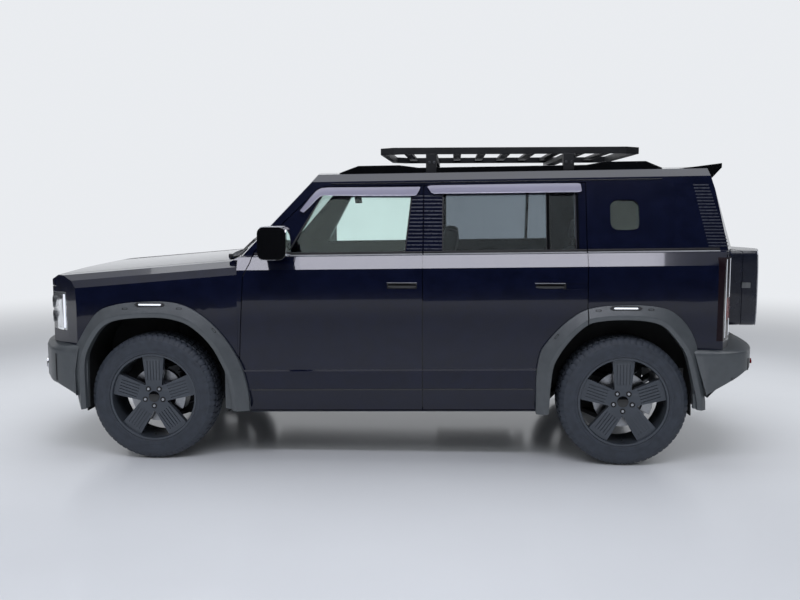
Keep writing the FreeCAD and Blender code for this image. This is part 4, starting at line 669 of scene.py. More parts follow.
FRONT_OUTER = [(-1.928, 0.3065), (-1.945, 0.388), (-1.960, 0.47), (-1.963, 0.545), (-1.961, 0.62),
               (-1.9545, 0.6766), (-1.9082, 0.7561), (-1.8557, 0.8413), (-1.8106, 0.896), (-1.7607, 0.9245),
               (-1.6682, 0.947), (-1.5764, 0.9565), (-1.4849, 0.9609), (-1.3938, 0.9614), (-1.3153, 0.9498),
               (-1.2433, 0.9232), (-1.1838, 0.8875), (-1.1245, 0.8399), (-1.0654, 0.7801), (-1.0067, 0.7023),
               (-0.9601, 0.6181), (-0.9312, 0.5518), (-0.9086, 0.4671), (-0.8978, 0.4002), (-0.8937, 0.3065)]
FRONT_LOW = [(-1.914, 0.3065), (-1.915, 0.388), (-1.915, 0.47), (-1.915, 0.545), (-1.910, 0.61),
             (-1.8972, 0.6644), (-1.8639, 0.7312), (-1.8249, 0.7918), (-1.7804, 0.8403), (-1.7184, 0.8707),
             (-1.6572, 0.883), (-1.5659, 0.8926), (-1.475, 0.8961), (-1.3844, 0.8936), (-1.3065, 0.8761),
             (-1.2469, 0.8556), (-1.1877, 0.8141), (-1.1289, 0.7607), (-1.0763, 0.6952), (-1.0359, 0.6175),
             (-1.0013, 0.5455), (-0.9789, 0.4673), (-0.9687, 0.3765), (-0.9642, 0.3065)]
REAR_OUTER = [(0.8095, 0.3065), (0.8097, 0.4195), (0.8084, 0.5089), (0.8133, 0.5803), (0.8293, 0.6753),
              (0.869, 0.7347), (0.9145, 0.7881), (0.9599, 0.8354), (1.011, 0.8767), (1.0564, 0.9092),
              (1.102, 0.9299), (1.1705, 0.9448), (1.239, 0.951), (1.3987, 0.9547), (1.4843, 0.9465),
              (1.5586, 0.9323), (1.6048, 0.9036), (1.6515, 0.8631), (1.6871, 0.811), (1.7113, 0.7645),
              (1.7294, 0.7155), (1.743, 0.60), (1.765, 0.50), (1.785, 0.41), (1.787, 0.345)]
REAR_LOW = [(0.8543, 0.3065), (0.8591, 0.3978), (0.8636, 0.4867), (0.8791, 0.605), (0.9014, 0.6523),
            (0.9406, 0.7171), (0.9967, 0.7878), (1.053, 0.8406), (1.1037, 0.8759), (1.1662, 0.8879),
            (1.2514, 0.8971), (1.3649, 0.8977), (1.4501, 0.8895), (1.5184, 0.8726), (1.5644, 0.844),
            (1.6112, 0.7921), (1.6465, 0.746), (1.6813, 0.7005), (1.712, 0.60), (1.736, 0.50), (1.758, 0.41),
            (1.761, 0.345)]
# Edge of the body's wheel opening about the front axle; the rear one is its mirror image
OPENING = [(1, -0.22), (1, 0.352), (0.922, 0.574), (0.822, 0.785), (0.667, 0.963), (0.478, 1.09),
           (0.267, 1.146), (-0.267, 1.146), (-0.489, 1.09), (-0.667, 0.974), (-0.822, 0.774), (-0.9, 0.574),
           (-0.915, -0.22)]
OPENING_RADIUS = 0.45
DOOR_GAP = 0.0025


def opening_reach(ahead, flip):
    """Distance from the axle to the edge of the body's wheel opening in a direction."""
    best = 9.0
    points = [Vector((s * flip, t)) * OPENING_RADIUS for s, t in OPENING]
    for a, b in zip(points, points[1:]):
        run = b - a
        spread = ahead.x * run.y - ahead.y * run.x
        if abs(spread) < 1e-9:
            continue
        reach = (a.x * run.y - a.y * run.x) / spread
        share = (a.x * ahead.y - a.y * ahead.x) / spread
        if reach > 0 and -0.001 <= share <= 1.001:
            best = min(best, reach)
    return best


def flare_form(outer, low, axle_x, sign, flip):
    """Closed strip round a wheel arch: lit upper band, darker lower face and a flange inside.

    A ring's points are a place in the side view and the distance from the middle plane.
    """
    build = Build()
    rings = []
    axle = Vector((axle_x, AXLE_Z))
    for o, w in zip(smooth_curve(outer, 84), smooth_curve(low, 84)):
        outer_at, low_at = Vector(o), Vector(w)
        inward = (axle - low_at).normalized()
        lip_reach = (low_at - axle).length - 0.028
        flange_reach = min(lip_reach, opening_reach(-inward, flip) - 0.009)
        lip, flange = axle - inward * lip_reach, axle - inward * flange_reach
        across = low_at - outer_at
        ring = [(outer_at, 0.932), (outer_at, 0.9735), (outer_at + across * 0.05, 0.9765),
                (outer_at + across * 0.94, 1.0005), (low_at, 1.0025), (low_at + inward * 0.005, 1.0022),
                (lip - inward * 0.004, 0.9985), (lip, 0.996), (lip + inward * 0.001, 0.966),
                (flange, 0.9625), (flange, 0.932)]
        rings.append([Vector((p.x, sign * y, p.y)) for p, y in ring])
    build.loft(rings)
    return build


def add_flares():
    """The rear flares are cut at the gap behind the rear doors, which carry the front part."""
    fixed = Build()
    options = {"smooth": 32, "bevel": 0.0015}
    for side, sign in SIDES:
        front = flare_form(FRONT_OUTER, FRONT_LOW, AXLES[0][1], sign, 1)
        rear = flare_form(REAR_OUTER, REAR_LOW, AXLES[1][1], sign, -1)
        fixed.add(front.verts, front.faces)
        fixed.add(*cut_at(rear.verts, rear.faces, DOOR_END + DOOR_GAP, True))
        verts, faces = cut_at(rear.verts, rear.faces, DOOR_END - DOOR_GAP, False)
        moving = piece("flare_door_" + side, verts, faces, "door_rear_" + side, TRIM, **options)
        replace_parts(moving, "door_flare_" + side)
    whole = fixed.done("flares_fixed", "chassis", TRIM, **options)
    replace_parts(whole, "arch_flares")
    return [whole] + [bpy.data.objects["flare_door_" + side] for side, _ in SIDES]


FRONT_PLAN = [(-1.925, 0.9985), (-1.98, 0.994), (-2.035, 0.979), (-2.085, 0.948), (-2.13, 0.9),
              (-2.165, 0.845), (-2.194, 0.79), (-2.246, 0.70), (-2.288, 0.60), (-2.324, 0.5), (-2.354, 0.37),
              (-2.373, 0.22), (-2.3815, 0.1), (-2.384, 0.0)]
REAR_PLAN = [(1.715, 0.9985), (1.84, 0.9985), (1.93, 0.989), (1.985, 0.969), (2.022, 0.937), (2.048, 0.892),
             (2.070, 0.84), (2.094, 0.77), (2.117, 0.69), (2.139, 0.58), (2.155, 0.4), (2.164, 0.18),
             (2.166, 0.0)]
BUMPER_TOP = 0.6935
BUMPER_WALL = 0.06
# Share of the height and how far the face is drawn in there
FRONT_FACE = ((0.0, 0.022), (0.035, 0.006), (0.08, 0.0), (0.5, 0.0), (0.84, 0.0), (0.9, 0.006),
              (0.955, 0.028), (1.0, 0.062))
REAR_FACE = ((0.0, 0.022), (0.05, 0.006), (0.1, 0.0), (0.5, 0.0), (0.88, 0.0), (0.93, 0.006),
             (0.965, 0.035), (1.0, 0.085))


def front_low(x):
    return float(np.clip(0.389 - 0.47 * (x + 1.938), 0.389, 0.452))


def rear_low(x):
    return float(np.clip(0.419 + 0.583 * (x - 1.7775), 0.419, 0.56))


def front_end(z):
    return -1.945 + 0.21 * max(0.0, z - 0.559)


def rear_end(z):
    return 1.705 + 0.30 * (0.70 - z)


def bumper_point(x, y, share, toward, low_z, draw, end_x):
    """A point of a bumper's face; draw moves it in at the top and bottom edges."""
    z = low_z(x) + (BUMPER_TOP - low_z(x)) * share
    nearer = min if toward > 0 else max
    return Vector((nearer(x + toward * draw, end_x(z)), y * (1 - draw * 0.22), z))


def add_bumper(name, replaced, plan, toward, low_z, end_x, face):
    half = smooth_curve(plan, 44)
    outline = [(x, -y) for x, y in half] + [(x, y) for x, y in reversed(half[:-1])]
    inside = [(x + toward * BUMPER_WALL, y * (1 - BUMPER_WALL * 0.5)) for x, y in reversed(outline)]
    rings = [[bumper_point(x, y, share, toward, low_z, draw, end_x) for x, y in outline + inside]
             for share, draw in face]
    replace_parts(lofted(name, rings, "chassis", TRIM, smooth=28, bevel=0.003), replaced)


def face_x(plan, y):
    """Reach of a bumper's plan at a half width."""
    rows = sorted((w, x) for x, w in plan)
    return float(np.interp(abs(y), [r[0] for r in rows], [r[1] for r in rows]))


def face_panel(build, plan, toward, low, high, half_low, half_high, sink, proud, steps=15):
    """Panel that follows a bumper's face between two heights."""
    rings = []
    for k in range(steps):
        share = 2 * k / (steps - 1) - 1
        rings.append([(face_x(plan, share * half) - toward * out, share * half, z)
                      for out, (z, half) in square(-sink, proud, (low, half_low), (high, half_high))])
    build.loft(rings)


def add_front_details():
    """Dark intake with slats, blank plate, skid plate, tow eyes and fog lamps."""
    intake, slats, plate, eyes, fogs = Build(), Build(), Build(), Build(), Build()
    face_panel(intake, FRONT_PLAN, 1, 0.475, 0.565, 0.36, 0.4, 0.004, 0.001)
    intake.done("intake_shade", "chassis", SEAL, slot="trim", bevel=0.001)
    for z in (0.488, 0.510, 0.532, 0.554):
        face_panel(slats, FRONT_PLAN, 1, z - 0.003, z + 0.003, 0.36, 0.38, 0.002, 0.005)
    slats.done("intake_slats", "chassis", GLOSS, bevel=0.001)
    plate.block((-2.3900, -0.18, 0.592), (-2.3835, 0.18, 0.662))
    plate.done("plate_front", "chassis", PLATE, bevel=0.002)
    add_skid_plate()
    for y in (-0.52, 0.52):
        x = face_x(FRONT_PLAN, y)
        bend = ((0.02, -0.018), (-0.006, -0.016), (-0.012, -0.006))
        bend += tuple((a, -b) for a, b in reversed(bend))
        eyes.tube([(x + a, y + b, 0.50) for a, b in bend], 0.0055, 10)
    eyes.done("tow_eyes_front", "chassis", STEEL, smooth=50)
    for _, sign in SIDES:
        y = sign * 0.66
        fogs.lathe([(0.0, 0.001), (0.026, 0.003), (0.029, 0.006), (0.033, 0.006), (0.034, -0.006)],
                   (face_x(FRONT_PLAN, y) - 0.002, y, 0.535), (-0.88, sign * 0.47, 0), 32)
    fogs.done("fog_lamps", "chassis", REFLECTOR, slot="head_lens", smooth=40)


def add_skid_plate():
    rings = []
    for x, z, half in ((-2.352, 0.462, 0.43), (-2.335, 0.43, 0.42), (-2.26, 0.385, 0.39),
                       (-2.12, 0.352, 0.36), (-1.98, 0.345, 0.35)):
        ring = []
        for k in range(9):
            y = half * (2 * k / 8 - 1)
            rib = 0.006 if k % 2 else 0.0
            ring.append(Vector((x + 0.12 * (y / 0.5) ** 2, y, z + rib)))
        rings.append(ring + [p + UP * 0.014 for p in reversed(ring)])
    lofted("skid_plate", rings, "chassis", METAL, smooth=25, bevel=0.0015)


def add_rear_details():
    """Step line, reflectors, blank plate and side pins."""
    line, marks, plate, pins = Build(), Build(), Build(), Build()
    face_panel(line, REAR_PLAN, -1, 0.645, 0.663, 0.62, 0.62, 0.003, 0.003, 25)
    line.done("rear_step_line", "chassis", SEAL, slot="trim", bevel=0.0015)
    for _, sign in SIDES:
        turn = Matrix.Rotation(sign * -0.28, 3, "Z")
        for half in (0.72, 0.77):
            marks.block((-0.002, -0.022, -0.011), (0.003, 0.022, 0.011), turn,
                        (face_x(REAR_PLAN, half) - 0.004, sign * half, 0.60))
        pins.lathe([(0.0, 0.004), (0.006, 0.004), (0.008, 0.0), (0.008, -0.006)], (1.93, sign * 0.9885, 0.53),
                   (0.1, sign, 0), 16)
    marks.done("rear_reflectors", "chassis", RED, bevel=0.002)
    plate.block((2.1600, -0.20, 0.575), (2.1700, 0.20, 0.635))
    plate.done("plate_rear", "chassis", PLATE, bevel=0.002)
    pins.done("bumper_pins", "chassis", BOLT, smooth=40)


def add_bumper_slots():
    """Upright dark strips at the four corners of the bumpers: painted shade of the grooves there."""
    shape = ((-0.005, -0.004), (-0.005, 0.0012), (0.005, 0.0012), (0.005, -0.004))
    groove_shade = Build()
    for _, sign in SIDES:
        for x, y, across, out, low_z, high_z in (
                (-2.083, 0.9495, (0.70, 0.714, 0), (-0.714, 0.70, 0), 0.475, 0.640),
                (2.040, 0.908, (-0.74, 0.67, 0), (0.67, 0.74, 0), 0.570, 0.640)):
            rings = []
            for z in np.linspace(low_z, high_z, 6):
                ring = section(Vector((x, y, z)), Vector(across), Vector(out), shape)
                rings.append([(p.x, sign * p.y, p.z) for p in ring])
            groove_shade.loft(rings)
    groove_shade.done("bumper_groove_shade", "chassis", SEAL, slot="trim", bevel=0.0006)


CASE_HALF, CASE_LOW, CASE_HIGH, CASE_RADIUS = 0.3495, 0.758, 1.236, 0.03
CASE_MIDDLE = (CASE_LOW + CASE_HIGH) / 2


def corner_arcs(y_from, z_from, y_to, z_to, radius):
    """Quarter circles about the corners of a box in the y-z plane, one list for each corner."""
    arcs = []
    for n, (y, z) in enumerate(((y_to, z_to), (y_from, z_to), (y_from, z_from), (y_to, z_from))):
        turns = [math.radians(90 * n + 15 * k) for k in range(7)]
        arcs.append([(y + radius * math.cos(a), z + radius * math.sin(a)) for a in turns])
    return arcs


def case_outline():
    arcs = corner_arcs(CASE_RADIUS - CASE_HALF, CASE_LOW + CASE_RADIUS, CASE_HALF - CASE_RADIUS,
                       CASE_HIGH - CASE_RADIUS, CASE_RADIUS)
    outline = []
    for arc, following in zip(arcs, arcs[1:] + arcs[:1]):
        (y0, z0), (y1, z1) = arc[-1], following[0]
        outline += arc + [(y0 + (y1 - y0) * k / 8, z0 + (z1 - z0) * k / 8) for k in range(1, 8)]
    return outline


def case_reach(y, z):
    """How far back the case's tapered rear face stands."""
    return 2.374 - 0.326 * math.sqrt(y * y + 0.0025) - 0.006 * ((z - CASE_MIDDLE) / 0.24) ** 4


def case_ring(outline, scale, back=None, lag=0.0):
    """The outline at a scale, at one x or that far inside the rear face."""
    points = [(y * scale, CASE_MIDDLE + (z - CASE_MIDDLE) * scale) for y, z in outline]
    return [(case_reach(y, z) - lag if back is None else back, y, z) for y, z in points]


def add_case():
    """Cover of the case on the tailgate, with round edges, a bright rim and two latches."""
    outline = case_outline()
    rings = [case_ring(outline, scale, back) for scale, back in
             ((1, 1.996), (1, 2.150), (0.988, 2.153), (0.988, 2.161), (1, 2.164))]
    rings += [case_ring(outline, scale, None, lag) for scale, lag in
              ((1, 0.018), (0.994, 0.008), (0.984, 0.002), (0.965, 0.0))]
    rings += [case_ring(outline, scale) for scale in (0.84, 0.7, 0.55, 0.4, 0.25, 0.1, 0.01)]
    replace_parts(lofted("case_cover", rings, "tailgate", CASE, smooth=40), "storage_case")
    rim = Build()
    rings = []
    for y, z in outline + outline[:1]:
        rise = z - CASE_MIDDLE
        x = case_reach(y * 0.99, CASE_MIDDLE + rise * 0.99) - 0.006
        away = Vector((0.4, y, rise)).normalized()
        rings.append(section(Vector((x, y * 0.991, CASE_MIDDLE + rise * 0.991)), away, BACK,
                             square(0.001, 0.0042, 0, 0.004)))
    rim.loft(rings, caps=False)
    rim.done("case_rim", "tailgate", SATIN, smooth=50)
    latch = Build()
    for y in (-0.354, 0.345):
        latch.block((2.160, y, 1.0), (2.215, y + 0.009, 1.035))
    latch.done("case_latches", "tailgate", METAL, bevel=0.002)


flares = add_flares()
add_bumper("bumper_front", "front_bumper", FRONT_PLAN, 1, front_low, front_end, FRONT_FACE)
add_bumper("bumper_rear", "rear_bumper", REAR_PLAN, -1, rear_low, rear_end, REAR_FACE)
add_front_details()
add_rear_details()
add_bumper_slots()
add_case()


# Flares: marker lamps in their bezels, clip recesses

FLARE_TOPS = {"front": 0.9605, "rear": 0.9530}
# Clip recesses by body: x, z and the turn of each in radians
CLIPS = (("chassis", "", ((-1.6317, 0.919, 0), (-1.3053, 0.921, 0), (-1.0981, 0.791, 0.9),
                          (1.16, 0.9225, 0), (1.4603, 0.93, 0))),
         ("door_rear_", "door_", ((0.9225, 0.7697, -0.9),)))


def hexagon(tip, flat, low, middle, high):
    return [(-tip, middle), (-flat, low), (flat, low), (tip, middle), (flat, high), (-flat, high)]


def chamfer_ring(axle_x, top, sign, points, lift):
    """Ring on a flare's upper chamfer: x from the axle and share across it, from the body outwards."""
    along, out = Vector((0, 0.027, -0.062)), Vector((0, 0.062, 0.027)).normalized()
    ring = []
    for x, share in points:
        spot = Vector((0, 0.9750, top)) + along * (0.08 + 0.84 * share) + out * lift
        ring.append((axle_x + x, sign * spot.y, spot.z))
    return ring


def add_markers(side, sign):
    outer = hexagon(0.094, 0.078, 0.0, 0.24, 0.46)
    inner = hexagon(0.072, 0.066, 0.13, 0.23, 0.35)
    ends = hexagon(0.0705, 0.065, 0.14, 0.23, 0.34)
    small = [(x * 0.97, 0.24 + (s - 0.24) * 0.6) for x, s in ends]
    for place, axle_x in AXLES:
        tag, top = place + "_" + side, FLARE_TOPS[place]
        frame_rows = ((outer, -0.002), (outer, 0.003), (inner, 0.003), (inner, -0.006))
        lens_rows = ((ends, -0.007), (ends, 0.0005), (small, 0.0022))
        bezel = Build()
        bezel.loft([chamfer_ring(axle_x, top, sign, *row) for row in frame_rows], caps=False)
        bezel.done("marker_bezel_" + tag, "chassis", RACK, slot="trim", smooth=25, bevel=0.0008)
        lofted("marker_lamp_" + tag, [chamfer_ring(axle_x, top, sign, *row) for row in lens_rows], "chassis",
               LAMP, smooth=40, bevel=0.0008)


def add_clips(side, sign, tree):
    outline = ((-1, -0.6), (-0.75, -1), (0.75, -1), (1, -0.6), (1, 0.6), (0.75, 1), (-0.75, 1), (-1, 0.6))
    for carrier, tag, spots in CLIPS:
        build = Build()
        for x, z, tilt in spots:
            for hit, out in side_hits(tree, [(x, z)], sign):
                u = Vector((math.cos(tilt), 0, -math.sin(tilt)))
                u = (u - out * u.dot(out)).normalized()
                w = out.cross(u)
                rings = []
                for lift, grow in ((-0.001, 1.0), (0.0012, 1.0), (0.0012, 0.72), (-0.0006, 0.66)):
                    shape = [(0.017 * grow * a, 0.0058 * grow * b) for a, b in outline]
                    rings.append(section(hit + out * lift, u, w, shape))
                build.loft(rings)
        body = carrier + side if tag else carrier
        build.done("flare_clips_" + tag + side, body, SEAL)


flare_tree = tree_over(flares)
for side, sign in SIDES:
    add_markers(side, sign)
    add_clips(side, sign, flare_tree)


# Lamps and grille

REFLECTOR_PROFILE = ((0.034, -0.004), (0.038, 0.003), (0.034, 0.005), (0.029, 0.001), (0.006, -0.004),
                     (0, -0.004))


def add_headlamps():
    """Bright upright tube and four reflectors of each lamp."""
    tree = tree_of("headlamps")
    for side, sign in SIDES:
        found = side_hits(tree, [(-2.052, z) for z in np.linspace(0.785, 0.992, 18)], sign)
        shape = ((-0.006, -0.004), (-0.005, 0.0012), (0.007, 0.0012), (0.009, -0.004))
        rings = [section(hit + out * 0.0012, -BACK, out, shape) for hit, out in found]
        lofted("lamp_blade_" + side, rings, "chassis", LAMP, smooth=40, bevel=0.001)
        for n, y in enumerate((0.655, 0.745)):
            for z, level in ((0.845, "_low"), (0.935, "_high")):
                ring = Build()
                for hit, out in hits(tree, [(-3, sign * y, z)], BACK):
                    ring.lathe(REFLECTOR_PROFILE, hit, out, 28)
                ring.done("lamp_reflector_" + side + "_" + str(n) + level, "chassis", REFLECTOR, smooth=50)


def add_grille_mesh():
    """Fine wires behind the bars of the grille."""
    mesh = Build()
    for n in range(61):
        y = -0.52 + n * 0.01733
        x = -2.242 + 0.03 * (y / 0.5) ** 2
        mesh.block((x - 0.002, y - 0.0014, 0.738), (x + 0.002, y + 0.0014, 0.988))
    for n in range(15):
        z = 0.745 + n * 0.0168
        rings = []
        for y in np.linspace(-0.52, 0.52, 13):
            x = -2.2385 + 0.03 * (y / 0.5) ** 2
            rings.append([(x + a, y, z + b) for a, b in square(-0.0015, 0.0015, -0.0013, 0.0013)])
        mesh.loft(rings)
    mesh.done("grille_mesh", "chassis", RACK, slot="gloss")


def add_tail_lamps():
    """Glowing white upright edges, painted reflections down each lamp, and a red cell on the rear face of each
    lamp.
    """
    tree = tree_of("tail_lamps")
    low, high = 0.858, 0.99
    shape = square(-0.003, 0.0018, -0.003, 0.003)
    for side, sign in SIDES:
        # The glowing white strips paint the reflections down the lamp's edges.
        reflection_strips = Build()
        for x in (1.9005, 1.9545):
            found = side_hits(tree, [(x, z) for z in np.linspace(0.758, 1.216, 24)], sign)
            reflection_strips.loft([section(hit, out, BACK - out * out.x, shape) for hit, out in found])
        reflection_strips.done("tail_lamp_reflections_" + side, "chassis", LAMP, slot="tail_lens", smooth=40, bevel=0.0008)
        starts = [(3, sign * y, (low + high) / 2) for y in np.linspace(0.792, 0.868, 6)]
        rings = [[Vector((hit.x, hit.y, z)) + out * proud for z, proud in
                  ((low, -0.003), (low + 0.003, 0.0022), (high - 0.003, 0.0022), (high, -0.003))]
                 for hit, out in hits(tree, starts, -BACK)]
        lofted("tail_lamp_cells_" + side, rings, "chassis", RED, smooth=35, bevel=0.001)


add_headlamps()
add_grille_mesh()
add_tail_lamps()


# Outside details: handles, mirrors, wipers, exhaust tip, springs, rack bolts

HANDLES = (("front", 0.0204), ("rear", 0.8830))
HANDLE_Z = 1.060


def add_handles(side, sign):
    for place, x in HANDLES:
        tag = place + "_" + side
        body = "door_" + tag
        # A flat dark strip at each handle paints the shade in its recess.
        skin_line("handle_recess_shade_" + tag, body, SEAL, sign, (x - 0.0925, x + 0.0925), HANDLE_Z, 0.04, 0.0008,
                  9, 0, slot="gloss", bevel=0.0006)
        rings = []
        for d in np.linspace(-1, 1, 17):
            high = 0.013 * (1 - 0.35 * abs(d) ** 4)
            proud = 0.0065 * (1 - 0.55 * d * d) + 0.002
            rings.append(section(on_skin(x + d * 0.082, HANDLE_Z, sign), Vector((0, sign, 0)), UP,
                                 ((-0.003, -high), (proud * 0.6, -high), (proud, -high * 0.4),
                                  (proud, high * 0.5), (proud * 0.7, high), (-0.003, high))))
        lofted("door_handle_" + tag, rings, body, GLOSS, smooth=50, bevel=0.0008)
        # A thin bright strip over each handle paints its top highlight.
        skin_line("handle_highlight_" + tag, body, SATIN, sign, (x - 0.088, x + 0.088), 1.0775, 0.0026, 0.0034,
                  9, 0, bevel=0.0005)


def add_mirror(side, sign):
    """Glass in the rear face of the mirror's housing, and bright bands over its top, edge and front that paint
    the housing's highlights.
    """
    body = "door_front_" + side
    middle_y, middle_z = 1.047, 1.315
    corners = [p for arc in corner_arcs(0.996, 1.258, 1.098, 1.372, 0.02) for p in arc]
    rings = [[(x, sign * (middle_y + (y - middle_y) * grow), middle_z + (z - middle_z) * grow)
              for y, z in corners]
             for x, grow in ((-0.640, 1.0), (-0.6315, 1.0), (-0.6305, 0.93), (-0.6305, 0.5))]
    lofted("mirror_glass_" + side, rings, body, MIRROR)
    housing = tree_of("mirror_" + side)
    above = [(-0.72, sign * y, 1.6) for y in np.linspace(0.972, 1.120, 14)]
    ahead = [(-1.2, sign * y, 1.335) for y in np.linspace(0.975, 1.122, 14)]
    cap = ((-0.058, -0.004), (-0.050, 0.0022), (0.055, 0.0022), (0.062, -0.004))
    band = ((0.004, -0.019), (-0.0022, -0.014), (-0.0022, 0.014), (0.004, 0.019))
    for name, starts, toward, shape in (("cap_", above, -UP, cap), ("highlight_band_", ahead, BACK, band)):
        rings = [section(hit, BACK, UP, shape) for hit, _ in hits(housing, starts, toward)]
        lofted("mirror_" + name + side, rings, body, SATIN, bevel=0.0015)
    # Thin bright lips along the outer face's top and bottom paint the highlights on those edges.
    edge = Build()
    for level, low, high, x_from, x_to in ((1.388, 1.3990, 1.4077, -0.780, -0.650),
                                           (1.242, 1.2193, 1.2262, -0.780, -0.690)):
        shape = square(-0.006, -0.0001, low, high)
        found = side_hits(housing, [(x, level) for x in np.linspace(x_from, x_to, 12)], sign)
        edge.loft([[(hit.x, hit.y + sign * out, z) for out, z in shape] for hit, _ in found])
    edge.done("mirror_edge_highlight_" + side, body, SATIN, bevel=0.0005)


def add_wipers():
    """Two arms and blades laid on the foot of the windscreen."""
    tree = tree_of("fixed_glass", "cowl_panel", "hood", "dashboard")

    def above(x, y, lift):
        hit = tree.ray_cast(Vector((x, y, 3)), -UP)[0]
        return Vector((x, y, (hit.z if hit is not None else 1.2) + lift))

    arms, blades, pivots = Build(), Build(), Build()
    for start, y_from, y_to in ((-0.62, -0.70, -0.12), (0.06, -0.02, 0.56)):
        line = [above(-1.000 + 0.045 * k / 11, y_from + (y_to - y_from) * k / 11, 0.011) for k in range(12)]
        blades.tube(line, 0.0045, 6)
        blades.tube([p + Vector((-0.004, 0, 0.008)) for p in line[2:-2]], 0.0035, 6, 0.7)
        foot = above(-1.075, start, 0.012)
        elbow = above(-1.045, start + 0.06, 0.022)
        arms.tube([foot, elbow, (elbow + line[6]) / 2 + UP * 0.006, line[6] + UP * 0.012], 0.0055, 8, 0.6)
        pivots.lathe([(0.0, 0.016), (0.011, 0.016), (0.014, 0.011), (0.015, -0.004)], foot, UP, 20)
    for build, name, material in ((arms, "arms", RACK), (blades, "blades", SEAL), (pivots, "pivots", RACK)):
        build.done("wiper_" + name, "chassis", material, slot="trim", smooth=40)


def add_exhaust_tip():
    ends = [v.co for v in nodes["exhaust"].data.vertices if v.co.x > 1.98]
    centre = sum(ends, Vector()) / len(ends)
    radius = max((v - centre).length for v in ends) + 0.006
    tip = Build()
    tip.lathe([(radius - 0.006, -0.02), (radius - 0.005, 0.004), (radius, 0.007), (radius + 0.004, 0.003),
               (radius + 0.003, -0.08), (radius - 0.004, -0.09)], centre, BACK, 32)
    tip.done("exhaust_tip", "chassis", STEEL, smooth=50)


def add_springs():
    springs = Build()
    coil, foot, per_turn = 0.053, 0.235, 14
    for (_, axle_x), top, turns in zip(AXLES, (0.60, 0.50), (7, 6)):
        for _, sign in SIDES:
            line = []
            for k in range(turns * per_turn + 1):
                share = k / (turns * per_turn)
                a = share * turns * 2 * math.pi
                y = sign * (0.590 - 0.02 * share)
                line.append((axle_x + 0.095 + coil * math.cos(a), y + coil * math.sin(a),
                             foot + (top - foot) * share))
            springs.tube(line, 0.0065, 8)
    springs.done("coil_springs", "chassis", BOLT, smooth=60)


def add_rack_bolts():
    tree = tree_of("roof_rack")
    bolts = Build()
    for _, sign in SIDES:
        spots = [(x, 1.790) for x in (0.172, 0.202, 0.884, 0.914, 1.000, 1.034)]
        for hit, _ in side_hits(tree, spots, sign):
            bolts.lathe([(0.0, 0.0062), (0.0055, 0.0062), (0.0068, 0.0048), (0.0068, 0.001), (0.010, 0.001),
                         (0.010, -0.002)], hit, (0, sign, 0), 6)
    bolts.done("rack_bolts", "chassis", BOLT, slot="rack", bevel=0.0005)


for side, sign in SIDES:
    add_handles(side, sign)
    add_mirror(side, sign)
add_wipers()
add_exhaust_tip()
add_springs()
add_rack_bolts()


# Seats and cabin

FRONT_SEAT_Y = 0.412
REAR_SEAT_YS = (-0.42, 0.0, 0.42)
BACK_CHANNELS = (-0.5, -0.1, 0.3)
POST_RADIUS = 0.006
PAD_ROUNDING = 0.42
PAD_CROWN = 0.16


def hump(value, centre, width):
    return math.exp(-((value - centre) / width) ** 2)


def toward_ball(a, b, c):
    """Moves a cube's coordinate part of the way to a ball; b and c are the other two."""
    return a + (a * math.sqrt(1 - b * b / 2 - c * c / 2 + b * b * c * c / 3) - a) * PAD_ROUNDING


def pad_point(size, bolster, channels, u, v, w):
    """Point of a crowned pad for u, v, w from -1 to 1: round corners, raised sides, sewn channels."""
    x = toward_ball(u, v, w) * (1 - 0.03 * (1 - v * v))
    y = toward_ball(v, u, w) * (1 - 0.025 * (1 - u * u))
    z = toward_ball(w, u, v) * (1 + PAD_CROWN * (1 - u * u) * (1 - v * v))
    top = max(0.0, w)
    rise = bolster * top * (hump(abs(v), 0.82, 0.16) - 0.25 * hump(v, 0, 0.5))
    dent = sum(0.0075 * hump(u, c, 0.045) for c in channels) * top * (1 if abs(v) < 0.66 else 0.15)
    dent += 0.006 * top * hump(abs(v), 0.64, 0.035)
    return Vector((x * size[0] / 2, y * size[1] / 2, z * size[2] / 2 + rise - dent))


def pad(name, size, at, lean, channels=(), bolster=0.0):
    """Padded piece with its seams; lean turns it about the cross axis, in degrees."""
    turn = Matrix.Rotation(math.radians(lean), 3, "Y")

    def spot(u, v, w):
        return turn @ pad_point(size, bolster, channels, u, v, w) + Vector(at)

    form = bmesh.new()
    bmesh.ops.create_cube(form, size=2)
    bmesh.ops.subdivide_edges(form, edges=form.edges[:], cuts=25, use_grid_fill=True)
    verts = [spot(*v.co) for v in form.verts]
    faces = [tuple(v.index for v in f.verts) for f in form.faces]
    form.free()
    made = piece(name, verts, faces, "chassis", SEAT, smooth=60, subdivide=1)
    edge = np.linspace(-0.9, 0.9, 15)
    border = [(e, -0.93) for e in edge] + [(0.93, e) for e in edge] + [(e, 0.93) for e in edge[::-1]]
    border += [(-0.93, e) for e in edge[::-1]]
    loops = [border + border[:1]]
    loops += [[(c, v) for v in np.linspace(-0.6, 0.6, 19)] for c in channels]
    loops += [[(u, v) for u in np.linspace(-0.85, 0.85, 19)] for v in (-0.64, 0.64)]
    seams = Build()
    for loop in loops:
        seams.tube([spot(u, v, 1.0) for u, v in loop], 0.0018, 6)
    seams.done(name + "_seams", "chassis", SEAM, smooth=60)
    return made


